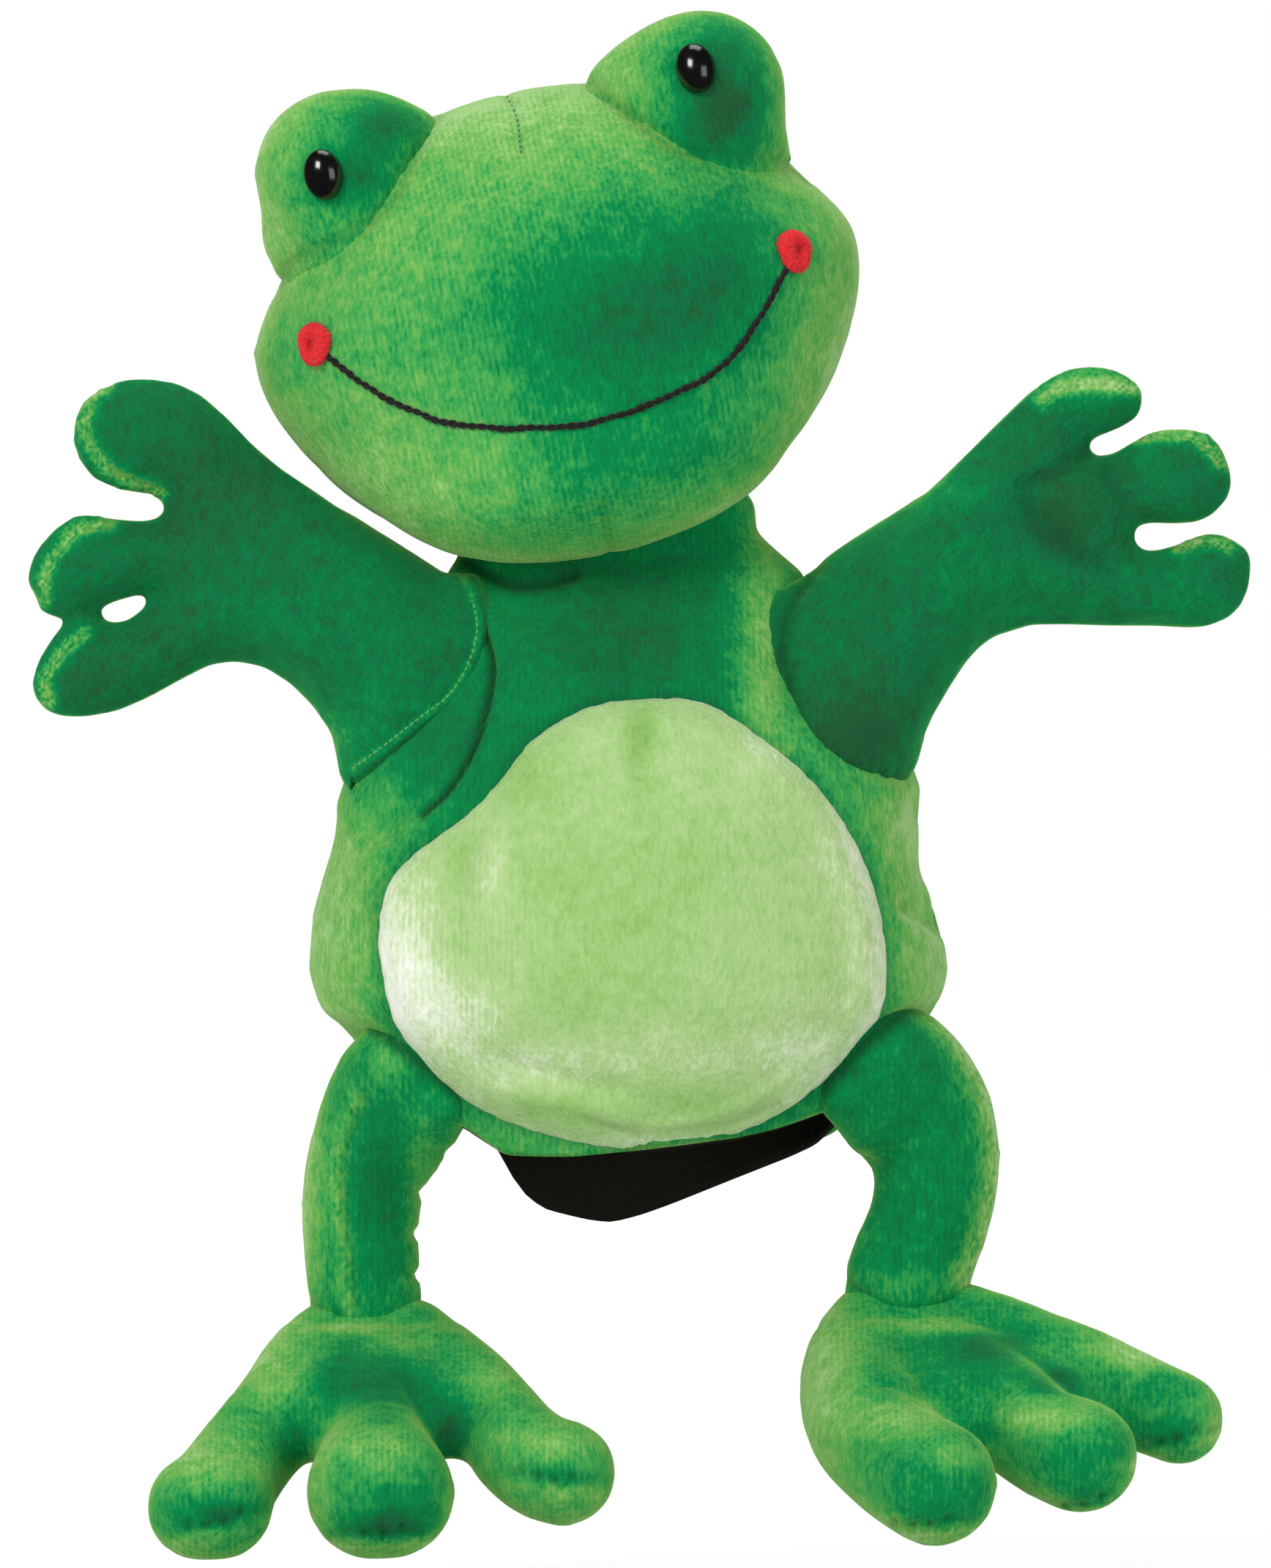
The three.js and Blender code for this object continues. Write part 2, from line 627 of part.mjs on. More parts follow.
function handForm(side, inset, sides) {
  const { at } = armFrame(side);
  const palm = limb({
    path: [at(FINGER_ROOT_REACH, 0), at(PALM_REACH, PALM_SHIFT)],
    radii: [WRIST_RADIUS, PALM_WIDTH / 2],
    depths: [PALM_DEPTH / 2, PALM_DEPTH / 2],
    inset,
    sides,
    steps: 2,
  });
  const fingers = side.fingers.map((share) => {
    const reach = FINGER_REACH * share.reach;
    const across = PALM_WIDTH * share.across;
    const radius = PALM_WIDTH * share.radius;
    return limb({
      path: [
        at(FINGER_ROOT_REACH, across * FINGER_ROOT_SPREAD),
        at((FINGER_ROOT_REACH + reach) / 2, across * FINGER_MID_SPREAD),
        at(reach, across),
      ],
      radii: [FINGER_ROOT_RADIUS, (FINGER_ROOT_RADIUS + radius) / 2 - FINGER_WAIST, radius],
      inset,
      sides,
      steps: 3,
    });
  });
  return union([palm, ...fingers]);
}

function makeArm(name, side) {
  const { at } = armFrame(side);
  const deep = at(-2 * ARM_ROOT_RADIUS, 0);
  const mouth = rod(deep, at(0, 0), ARM_BORE);
  const outer = sleeveForm(side, 0, SKIN_SIDES).add(handForm(side, 0, SKIN_SIDES));
  const hollow = sleeveForm(side, PLUSH, INNER_SIDES).add(handForm(side, PLUSH, INNER_SIDES));
  const pocketOuter = ARM_BORE - GAP;
  const pocketEnd = at(ARM_POCKET_REACH, 0);
  const pocketFoot = at(-ARM_ROOT_RADIUS / 2, 0);
  const pocket = rod(pocketFoot, pocketEnd, pocketOuter, BODY_INNER_SIDES)
    .subtract(rod(deep, at(ARM_POCKET_REACH - LINING, 0), pocketOuter - LINING, BODY_INNER_SIDES));
  const room = rod(deep, at(ARM_POCKET_REACH + GAP, 0), ARM_BORE, BODY_INNER_SIDES);
  const fill = handForm(side, PLUSH + GAP, INNER_SIDES).subtract(room);
  return [
    piece(`${name}_arm_skin`, 'green_plush', outer.subtract(hollow).subtract(mouth)),
    piece(`${name}_arm_lining`, 'lining_black', pocket),
    piece(`${name}_hand_stuffing`, 'stuffing_white', fill),
  ];
}

// Legs: bowed tubes with a small stuffing opening inside the body
function legForm(side, inset, sides) {
  const knee = vector(side.knee.x, -HIP_FORWARD, side.knee.z);
  return limb({
    path: [hipOf(side), knee, ankleOf(side)],
    radii: [HIP_RADIUS, KNEE_RADIUS, ANKLE_RADIUS],
    inset,
    sides,
    steps: 6,
  });
}

function makeLeg(name, side) {
  const hip = hipOf(side);
  const inside = hip.clone().addScaledVector(X_AXIS, -side.sign * 2 * HIP_RADIUS);
  const opening = rod(hip, inside, LEG_OPENING, 12);
  const skin = legForm(side, 0, SKIN_SIDES).subtract(legForm(side, PLUSH, INNER_SIDES)).subtract(opening);
  return [
    piece(`${name}_leg_skin`, 'green_plush', skin),
    piece(`${name}_leg_stuffing`, 'stuffing_white', legForm(side, PLUSH + GAP, INNER_SIDES)),
  ];
}

// Feet, in the frame of the ankle: forwards is -Y
function footForm(inset, sides) {
  const heel = vector(0, 0, -HEEL_DROP);
  const shape = { inset, sides, steps: 3, depth: Z_AXIS };
  const middle = limb({
    path: [heel, vector(0, -INSTEP_REACH, -INSTEP_DROP), vector(0, -MID_TOE_REACH, -TOE_DROP)],
    radii: [HEEL_RADIUS, INSTEP_RADIUS, MID_TOE_RADIUS],
    ...shape,
  });
  const sideToe = (sign) => limb({
    path: [
      vector(sign * TOE_ROOT_SPREAD, -TOE_ROOT_REACH, -TOE_ROOT_DROP),
      vector(sign * SIDE_TOE_SPREAD, -SIDE_TOE_REACH, -TOE_DROP),
    ],
    radii: [INSTEP_RADIUS, SIDE_TOE_RADIUS],
    ...shape,
  });
  const web = limb({
    path: [vector(0, -TOE_ROOT_REACH, -TOE_ROOT_DROP), vector(0, -WEB_REACH, -WEB_DROP)],
    radii: [HEEL_RADIUS, WEB_WIDTH / 2],
    depths: [HEEL_RADIUS, WEB_THICKNESS / 2],
    ...shape,
  });
  return union([middle, sideToe(1), sideToe(-1), web]);
}

function makeFoot(name, side) {
  const cup = ball(vector(0, 0, 0), ANKLE_RADIUS + JOINT_GAP);
  const cupInside = ball(vector(0, 0, 0), ANKLE_RADIUS + JOINT_GAP + GAP);
  const skin = footForm(0, SKIN_SIDES).subtract(footForm(PLUSH, INNER_SIDES)).subtract(cup);
  const group = new THREE.Group();
  group.add(
    piece(`${name}_foot_skin`, 'green_plush', skin),
    piece(`${name}_foot_stuffing`, 'stuffing_white', footForm(PLUSH + GAP, INNER_SIDES).subtract(cupInside)),
  );
  group.position.copy(ankleOf(side));
  group.rotation.set(0, -radians(side.footTilt), radians(side.footTurn), 'ZYX');
  return group;
}

const puppet = new THREE.Group();
puppet.add(...makeBody(), makeHead());
for (const [name, side] of Object.entries(SIDES)) {
  puppet.add(...makeArm(name, side), ...makeLeg(name, side), makeFoot(name, side));
}

export default puppet;
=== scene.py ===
"""Dresses the frog hand puppet: stuffed plush, lining, thread and eyes on a plain stage.

Lengths in the piece data are millimetres in the puppet's frame: +X the puppet's own left,
-Y the way the face looks, +Z up. (x, z) pairs are places seen from the front. A limb is a list
of (x, y, z, radius) balls. A brush row is (x, z, width, height, amount of lighter pile); it paints
brushed nap together with light and shade. A sewing row names a method of Skin and gives its
values; the last value of a seam or groove row is the shade painted along it.
"""

import math
from contextlib import contextmanager

import bpy
import numpy as np
from mathutils import Matrix, Vector
from mathutils.bvhtree import BVHTree


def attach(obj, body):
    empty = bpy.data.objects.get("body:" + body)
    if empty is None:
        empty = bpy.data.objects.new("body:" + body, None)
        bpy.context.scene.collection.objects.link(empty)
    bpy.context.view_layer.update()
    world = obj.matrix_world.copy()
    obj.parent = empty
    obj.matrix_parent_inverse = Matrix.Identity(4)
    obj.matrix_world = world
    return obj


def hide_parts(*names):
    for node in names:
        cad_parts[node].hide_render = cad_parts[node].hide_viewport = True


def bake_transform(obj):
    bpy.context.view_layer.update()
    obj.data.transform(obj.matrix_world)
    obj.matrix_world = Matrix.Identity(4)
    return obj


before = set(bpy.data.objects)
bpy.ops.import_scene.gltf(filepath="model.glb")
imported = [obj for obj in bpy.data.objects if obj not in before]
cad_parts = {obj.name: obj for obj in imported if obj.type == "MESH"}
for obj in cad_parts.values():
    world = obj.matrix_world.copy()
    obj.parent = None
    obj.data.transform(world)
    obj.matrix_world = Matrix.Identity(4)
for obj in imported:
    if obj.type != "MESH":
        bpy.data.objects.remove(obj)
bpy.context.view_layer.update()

bl_info = {
    "name": "Frog hand puppet",
    "version": (1, 0, 0),
    "blender": (4, 5, 0),
    "location": "3D View > Sidebar > Puppet",
    "description": "Builds the plush, thread and stage of a frog hand puppet",
    "category": "Object",
}

MM = 0.001
FULL_TURN = 2 * math.pi
WHITE = (1, 1, 1, 1)
HEAD_TILT = math.radians(12)
HEAD_MIDDLE = np.array((-14.94, 172.75))
HEAD_ACROSS = np.array((math.cos(HEAD_TILT), math.sin(HEAD_TILT)))
HEAD_UP = np.array((-math.sin(HEAD_TILT), math.cos(HEAD_TILT)))
HEAD_GRAIN = (HEAD_ACROSS[0], 0, HEAD_ACROSS[1])


def linear(red, green, blue):
    """A colour picked as 0 to 255 values, as the shaders use it."""
    shares = (value / 255 for value in (red, green, blue))
    return tuple(s / 12.92 if s <= 0.04045 else ((s + 0.055) / 1.055) ** 2.4 for s in shares)


def colour(name, description, *picked):
    return bpy.props.FloatVectorProperty(
        name=name, description=description, default=linear(*picked), subtype="COLOR", min=0, max=1)


def length(name, description, millimetres):
    return bpy.props.FloatProperty(
        name=name, description=description, default=millimetres * MM, unit="LENGTH", precision=5)


class PuppetSizes(bpy.types.PropertyGroup):
    """Sizes of the sewn and stuffed pieces"""

    mouth_width: length("Mouth width", "Between the ends of the smile", 94)
    mouth_drop: length("Mouth drop", "How far the smile hangs below its ends", 23.3)
    mouth_cord: length("Mouth cord", "Thickness of the cord of the smile", 1.4)
    eye_width: length("Eye width", "Width of a bead eye", 8)
    eye_tall: length("Eye height", "Height of a bead eye", 10.6)
    knot_width: length("Knot width", "Width of a cheek knot", 8.6)
    knot_tall: length("Knot height", "Height of a cheek knot", 9)
    plush: length("Plush", "Thickness of the plush with its pile", 2)
    lining: length("Lining", "Thickness of the lining", 0.8)
    rib_pitch: length("Rib pitch", "Distance between the knitted ribs of the plush", 1.3)
    floor_drop: length("Floor drop", "How far the floor lies under the hem", 86)


class PuppetColours(bpy.types.PropertyGroup):
    """Colours of the cloths and threads"""

    # The shade tones are the darkest pile, used for painted shade in hollows and creases; the pale tones are
    # the lightest pile, reached by painted sheen and painted light at edges.
    plush_shade: colour("Plush, shade", "Green pile pressed into a hollow", 30, 88, 52)
    plush_deep: colour("Plush, deep", "Green pile seen end on", 10, 114, 65)
    plush_mid: colour("Plush, middle", "Green pile in most places", 0, 137, 73)
    plush_soft: colour("Plush, soft", "Green pile a little brushed", 64, 165, 80)
    plush_light: colour("Plush, light", "Green pile brushed over", 116, 181, 88)
    plush_pale: colour("Plush, pale", "Green pile brushed over at an edge", 165, 208, 135)
    belly_shade: colour("Belly, shade", "Pale pile pressed into a hollow", 118, 170, 84)
    belly_deep: colour("Belly, deep", "Pale pile seen end on", 142, 188, 102)
    belly_mid: colour("Belly, middle", "Pale pile in most places", 162, 201, 126)
    belly_soft: colour("Belly, soft", "Pale pile a little brushed", 180, 211, 146)
    belly_light: colour("Belly, light", "Pale pile brushed over", 214, 230, 190)
    belly_pale: colour("Belly, pale", "Pale pile brushed over at an edge", 246, 249, 236)
    lining: colour("Lining", "Black lining", 36, 34, 27)
    mouth: colour("Mouth cord", "Black cord of the smile", 22, 20, 16)
    knot: colour("Cheek knots", "Red embroidery thread", 232, 34, 40)
    eye: colour("Eyes", "Black glossy plastic", 6, 6, 6)
    washer: colour("Washers", "White plastic washers behind the eyes", 216, 216, 208)
    floor: colour("Floor", "Pale studio floor", 244, 244, 244)


# Shaders

class Wire:
    """An output of a shader node that takes part in Python sums."""

    def __init__(self, finish, socket):
        self.finish = finish
        self.socket = socket

    def math(self, operation, first, second):
        return self.finish.node("ShaderNodeMath", {"operation": operation}, {0: first, 1: second})

    def __add__(self, other):
        return self.math("ADD", self, other)

    __radd__ = __add__

    def __mul__(self, other):
        return self.math("MULTIPLY", self, other)

    __rmul__ = __mul__

    def __sub__(self, other):
        return self.math("SUBTRACT", self, other)

    def __rsub__(self, other):
        return self.math("SUBTRACT", other, self)

    def __pow__(self, other):
        return self.math("POWER", self, other)


class Finish:
    """The nodes of a material or of the world while they are put together."""

    def __init__(self, owner):
        owner.use_nodes = True
        self.owner = owner
        self.tree = owner.node_tree
        self.tree.nodes.clear()

    def node(self, kind, settings=None, sockets=None, out=0):
        made = self.tree.nodes.new(kind)
        for key, value in (settings or {}).items():
            if key == "stops":
                self.set_stops(made.color_ramp.elements, value)
            else:
                setattr(made, key, value)
        for key, value in (sockets or {}).items():
            if isinstance(value, Wire):
                self.tree.links.new(value.socket, made.inputs[key])
            else:
                made.inputs[key].default_value = value
        return Wire(self, made.outputs[out]) if made.outputs else made

    def set_stops(self, elements, stops):
        while len(elements) < len(stops):
            elements.new(1.0)
        for element, (position, tone) in zip(elements, stops):
            element.position = position
            element.color = (*tone, 1)

    def done(self, shader):
        is_world = isinstance(self.owner, bpy.types.World)
        kind = "ShaderNodeOutputWorld" if is_world else "ShaderNodeOutputMaterial"
        self.node(kind, None, {"Surface": shader})

    def matter(self, values):
        self.done(self.node("ShaderNodeBsdfPrincipled", None, values))

    def place(self):
        return self.node("ShaderNodeTexCoord", None, None, "Object")

    def ray(self, kind):
        return self.node("ShaderNodeLightPath", None, None, kind)

    def attribute(self, name):
        return self.node("ShaderNodeAttribute", {"attribute_name": name}, None, "Fac")

    def noise(self, place, scale, detail=2.0, roughness=0.5):
        values = {"Vector": place, "Scale": scale, "Detail": detail, "Roughness": roughness}
        return self.node("ShaderNodeTexNoise", None, values)

    def bump(self, height, strength, distance):
        values = {"Height": height, "Strength": strength, "Distance": distance}
        return self.node("ShaderNodeBump", None, values)

    def ramp(self, value, *stops):
        """A colour that runs through (position, tone) stops."""
        return self.node("ShaderNodeValToRGB", {"stops": stops}, {"Fac": value})

    def light(self, kind, strength):
        return self.node(f"ShaderNode{kind}", None, {"Color": WHITE, "Strength": strength})

    def mix(self, share, first, second):
        return self.node("ShaderNodeMixShader", None, {0: share, 1: first, 2: second})


def new_finish(name):
    return Finish(bpy.data.materials.new(f"puppet_{name}"))


def toned(tone, share):
    """A tone made darker or lighter, never past white."""
    return tuple(min(1, share * value) for value in tone)


TONE_STEPS = (0.0, 0.15, 0.32, 0.5, 0.7, 1.0)
NOISE_MIDDLE = 0.5
PILE_STRETCH = (1, 1, 0.42)
CREASE_SHADE_SHARE = 0.45
PATCH_SHARE = 0.3
DRIFT_SHARE = 0.26
CLUMP_SHARE = 0.36
PILE_SHARE = 0.66
PAINTED_SHEEN_SHARE = 0.5


def plush_finish(name, tones, sheen, pitch):
    """Short pile on a ribbed knit: brushed patches, speckle, ribs and a soft sheen, with light, shade and
    sheen also painted into its colour.
    """
    finish = new_finish(name)
    place = finish.place()
    streaks = finish.node("ShaderNodeVectorMath", {"operation": "MULTIPLY"}, {0: place, 1: PILE_STRETCH})
    patches = finish.noise(place, scale=52.0, detail=3.0, roughness=0.6) - NOISE_MIDDLE
    drifts = finish.noise(place, scale=140.0, roughness=0.6) - NOISE_MIDDLE
    clumps = finish.noise(place, scale=300.0) - NOISE_MIDDLE
    pile = finish.noise(streaks, scale=1100.0, roughness=0.7) - NOISE_MIDDLE
    across = finish.attribute("rib") * (FULL_TURN / pitch)
    wander = finish.noise(place, scale=90.0) * 5.0
    ribs = finish.node("ShaderNodeMath", {"operation": "SINE"}, {0: across + wander})
    ribs = ribs * finish.noise(place, scale=170.0, roughness=0.6) * finish.attribute("ribbed")
    # Sheen painted into the base colour: the pile lighter where the surface turns away from the view.
    painted_sheen = finish.node("ShaderNodeLayerWeight", None, {"Blend": 0.5}, "Facing") ** 2.6
    # Each vertex holds a pile value: brushed nap together with painted light and shade.
    nap = finish.attribute("nap")
    mottle = patches * PATCH_SHARE + drifts * DRIFT_SHARE + clumps * CLUMP_SHARE + pile * PILE_SHARE
    tone = nap + mottle * (nap * 0.9 + 0.42) + painted_sheen * PAINTED_SHEEN_SHARE + ribs * (nap * 0.12 + 0.01)
    base = finish.ramp(tone, *zip(TONE_STEPS, tones))
    # Seams and creases are darkened towards a deep shade tone: painted shade.
    crease = (*toned(tones[0], CREASE_SHADE_SHARE), 1)
    shaded = finish.node(
        "ShaderNodeMix", {"data_type": "RGBA"}, {0: finish.attribute("crease"), 6: base, 7: crease}, 2)
    height = pile * 0.6 + clumps * 0.5 + ribs * 0.1
    finish.matter({
        "Base Color": shaded,
        "Roughness": 0.95,
        "Specular IOR Level": 0.08,
        "Sheen Weight": 0.28,
        "Sheen Roughness": 0.4,
        "Sheen Tint": (*sheen, 1),
        "Normal": finish.bump(height, strength=0.55, distance=1.0 * MM),
    })


def woven_finish(name, tone):
    """Plain woven lining with a fine crossed thread."""
    finish = new_finish(name)
    place = finish.place()
    weave = finish.noise(place, scale=1600.0, detail=1.0)
    folds = finish.noise(place, scale=60.0)
    shade = weave * 0.6 + folds * 0.4
    finish.matter({
        "Base Color": finish.ramp(shade, (0.3, toned(tone, 0.7)), (0.7, toned(tone, 1.25))),
        "Roughness": 0.85,
        "Specular IOR Level": 0.15,
        "Normal": finish.bump(weave, strength=0.3, distance=0.4 * MM),
    })


def thread_finish(name, tone, scale):
    """Twisted cotton thread with loose fibres."""
    finish = new_finish(name)
    fibres = finish.noise(finish.place(), scale, detail=3.0, roughness=0.7)
    finish.matter({
        "Base Color": finish.ramp(fibres, (0.3, toned(tone, 0.55)), (0.7, toned(tone, 1.3))),
        "Roughness": 0.75,
        "Specular IOR Level": 0.25,
        "Sheen Weight": 0.2,
        "Normal": finish.bump(fibres, strength=0.5, distance=0.4 * MM),
    })


def plastic_finish(name, tone, roughness):
    """Moulded plastic with faint handling marks."""
    finish = new_finish(name)
    marks = finish.noise(finish.place(), scale=700.0, detail=3.0)
    worn = tuple(min(1, value * 1.15 + 0.002) for value in tone)
    finish.matter({
        "Base Color": finish.ramp(marks, (0.4, tone), (0.9, worn)),
        "Roughness": marks * 0.08 + roughness,
        "Specular IOR Level": 0.8,
    })


def dress(piece, finish):
    piece.data.materials.clear()
    piece.data.materials.append(bpy.data.materials[f"puppet_{finish}"])


# Modelling

def deselect():
    """Leaves nothing selected, so that an operator acts only on what comes next."""
    bpy.ops.object.select_all(action="DESELECT")


def activate(piece):
    deselect()
    piece.select_set(True)
    bpy.context.view_layer.objects.active = piece


@contextmanager
def editing(piece):
    """Edit mode on a whole piece, and object mode again afterwards."""
    activate(piece)
    bpy.ops.object.mode_set(mode="EDIT")
    bpy.ops.mesh.select_all(action="SELECT")
    yield
    bpy.ops.object.mode_set(mode="OBJECT")


def named(name):
    """The piece just added, with its place moved into its mesh."""
    piece = bpy.context.object
    piece.name = name
    piece.data.name = name
    bpy.ops.object.transform_apply(location=True, rotation=True, scale=True)
    return piece


def apply(piece, kind, **settings):
    """Adds a modifier to the piece, sets it and applies it."""
    activate(piece)
    modifier = piece.modifiers.new(kind.lower(), kind)
    for key, value in settings.items():
        setattr(modifier, key, value)
    bpy.ops.object.modifier_apply(modifier=modifier.name)


def points(piece):
    flat = np.empty(len(piece.data.vertices) * 3, np.float32)
    piece.data.vertices.foreach_get("co", flat)
    return flat.reshape(-1, 3).astype(float) / MM


def set_points(piece, where):
    piece.data.vertices.foreach_set("co", (np.asarray(where) * MM).astype(np.float32).ravel())
    piece.data.update()


def normals(piece):
    flat = np.empty(len(piece.data.vertices) * 3, np.float32)
    piece.data.vertex_normals.foreach_get("vector", flat)
    return flat.reshape(-1, 3).astype(float)


def ease(share):
    """0 to 1 with soft ends."""
    share = np.clip(share, 0, 1)
    return share * share * (3 - 2 * share)


def unit(ways):
    return ways / np.linalg.norm(ways, axis=-1, keepdims=True)


CURVE_STEPS = 24


def spline(rows, count):
    """Evenly spaced points on a smooth curve through the rows."""
    rows = np.asarray(rows, float)
    ends = np.vstack([2 * rows[0] - rows[1], rows, 2 * rows[-1] - rows[-2]])
    t = np.linspace(0, 1, CURVE_STEPS, endpoint=False)[:, None]
    parts = []
    for a, b, c, d in zip(ends, ends[1:], ends[2:], ends[3:]):
        parts.append(b + 0.5 * t * (c - a + t * (2 * a - 5 * b + 4 * c - d + t * (3 * (b - c) + d - a))))
    dense = np.vstack([*parts, rows[-1:]])
    steps = np.linalg.norm(np.diff(dense, axis=0), axis=1)
    reach = np.concatenate([[0], np.cumsum(steps)])
    at = np.linspace(0, reach[-1], count)
    return np.stack([np.interp(at, reach, column) for column in dense.T], axis=1)


def face(across, up):
    """Front (x, z) of a place given across and up the tilted face."""
    return tuple(HEAD_MIDDLE + across * HEAD_ACROSS + up * HEAD_UP)


def face_rows(rows):
    """Limb rows given across, forward and up the face, with a radius, in the puppet's frame."""
    placed = []
    for across, forward, up, *rest in rows:
        x, z = face(across, up)
        placed.append((x, forward, z, *rest))
    return placed


def on_face(rows):
    """Rows that start across and up the tilted face, as front (x, z) rows."""
    return [(*face(across, up), *rest) for across, up, *rest in rows]


def beads_of(limb):
    """Closely set balls (x, y, z, radius) along a limb."""
    rows = np.array(limb, float)
    reach = np.linalg.norm(np.diff(rows[:, :3], axis=0), axis=1).sum()
    return spline(rows, max(3, int(reach / (0.3 * rows[:, 3].min())) + 1))


def bead(x, y, z, radius):
    bpy.ops.mesh.primitive_ico_sphere_add(
        subdivisions=3, radius=radius * MM, location=(x * MM, y * MM, z * MM))


def stitch(place, turn, size):
    bpy.ops.mesh.primitive_ico_sphere_add(
        subdivisions=2, radius=MM, location=place, rotation=turn, scale=size)


def strung(name, add, rows):
    """One piece made of many: add makes the mesh of a row, and the rows after the first join it."""
    deselect()
    piece = None
    for row in rows:
        add(*row)
        if piece is None:
            piece = named(name)
            bpy.ops.object.mode_set(mode="EDIT")
    bpy.ops.object.mode_set(mode="OBJECT")
    return piece


def wrapping(name, around, tall):
    """A grid to be wrapped round, the turn of each point and its share of the height."""
    deselect()
    bpy.ops.mesh.primitive_grid_add(x_subdivisions=around, y_subdivisions=tall, size=MM)
    piece = named(name)
    grid = points(piece)
    return piece, FULL_TURN * grid[:, 0], np.clip(grid[:, 1] + 0.5, 0, 1)


def weld(piece):
    """Sews the edges of a wrapped grid together."""
    with editing(piece):
        bpy.ops.mesh.remove_doubles(threshold=0.02 * MM)


def outward(piece):
    """Turns the faces of a closed piece outward."""
    with editing(piece):
        bpy.ops.mesh.normals_make_consistent(inside=False)


def turned(piece, way):
    """Turns the faces of an open piece to look the given way."""
    if (way * normals(piece)).sum() < 0:
        with editing(piece):
            bpy.ops.mesh.flip_normals()


def pad_of(name, limbs, voxel, relax):
    """One closed pad: balls along each limb, joined by a voxel remesh and relaxed."""
    piece = strung(name, bead, [row for limb in limbs for row in beads_of(limb)])
    remesh(piece, voxel, relax)
    return piece


SLAB_HALF = 8
SLAB_EDGE = 0.8


def pillow(name, outline, shape, voxel, relax):
    """A pad of two panels sewn round an outline: a slab, rounded off towards the seam."""
    deselect()
    bpy.ops.mesh.primitive_circle_add(vertices=len(outline), radius=MM, fill_type="NGON")
    piece = named(name)
    set_points(piece, [(x, -SLAB_HALF, z) for x, z in outline])
    with editing(piece):
        bpy.ops.mesh.extrude_region_move(TRANSFORM_OT_translate={"value": (0, 2 * SLAB_HALF * MM, 0)})
    outward(piece)
    remesh(piece, voxel, 1)
    at = points(piece)
    gap, _ = near(outline + outline[:1], at[:, (0, 2)])
    middle, deep, reach = shape(at[:, 0], at[:, 2])
    share = 1 - np.clip((gap + SLAB_EDGE) / reach, 0, 1)
    at[:, 1] = middle + at[:, 1] / SLAB_HALF * deep * np.sqrt(1 - share ** 2)
    set_points(piece, at)
    remesh(piece, voxel, relax)
    return piece


def remesh(piece, voxel, relax):
    activate(piece)
    piece.data.remesh_voxel_size = voxel * MM
    bpy.ops.object.voxel_remesh()
    apply(piece, "SMOOTH", factor=0.5, iterations=relax)


PUFF_FRAMES = 20
PUFF = {
    "quality": 6, "use_pressure": True, "uniform_pressure_force": 16, "mass": 0.02, "tension_stiffness": 2,
    "compression_stiffness": 2, "shear_stiffness": 1, "bending_stiffness": 0.1,
}


def puff(piece, cap, sewn=None, spare=0.03):
    """Swells a pad cut with spare cloth; sewn points stay, and no point moves further than cap."""
    activate(piece)
    start = points(piece)
    cloth = piece.modifiers.new("stuffing", "CLOTH")
    for key, value in PUFF.items():
        setattr(cloth.settings, key, value)
    cloth.settings.shrink_min = -spare
    cloth.settings.effector_weights.gravity = 0
    cloth.collision_settings.use_collision = False
    cloth.point_cache.frame_end = PUFF_FRAMES
    if sewn is not None:
        held = piece.vertex_groups.new(name="sewn")
        held.add([int(i) for i in np.flatnonzero(sewn)], 1.0, "REPLACE")
        cloth.settings.vertex_group_mass = "sewn"
    for number in range(PUFF_FRAMES):
        bpy.context.scene.frame_set(number + 1)
    bpy.ops.object.modifier_apply(modifier=cloth.name)
    bpy.context.scene.frame_set(1)
    piece.vertex_groups.clear()
    move = points(piece) - start
    reach = np.linalg.norm(move, axis=1, keepdims=True)
    set_points(piece, start + move * np.minimum(1, cap / np.maximum(reach, 1e-6)))
    apply(piece, "SMOOTH", factor=0.5, iterations=2)


def refine(piece, levels):
    apply(piece, "SUBSURF", levels=levels, render_levels=levels)


def near(line, where):
    """Distance of each front place from a line of (x, z) places, and how far along it lies."""
    line = spline(line, max(60, 5 * len(line)))
    best = np.full(len(where), 1e9)
    along = np.zeros(len(where))
    done = 0.0
    for a, b in zip(line[:-1], line[1:]):
        step = b - a
        size = float(np.linalg.norm(step))
        share = np.clip((where - a) @ step / size ** 2, 0, 1)
        gap = np.linalg.norm(where - a - share[:, None] * step, axis=1)
        closer = gap < best
        best[closer] = gap[closer]
        along[closer] = done + share[closer] * size
        done += size
    return best, along


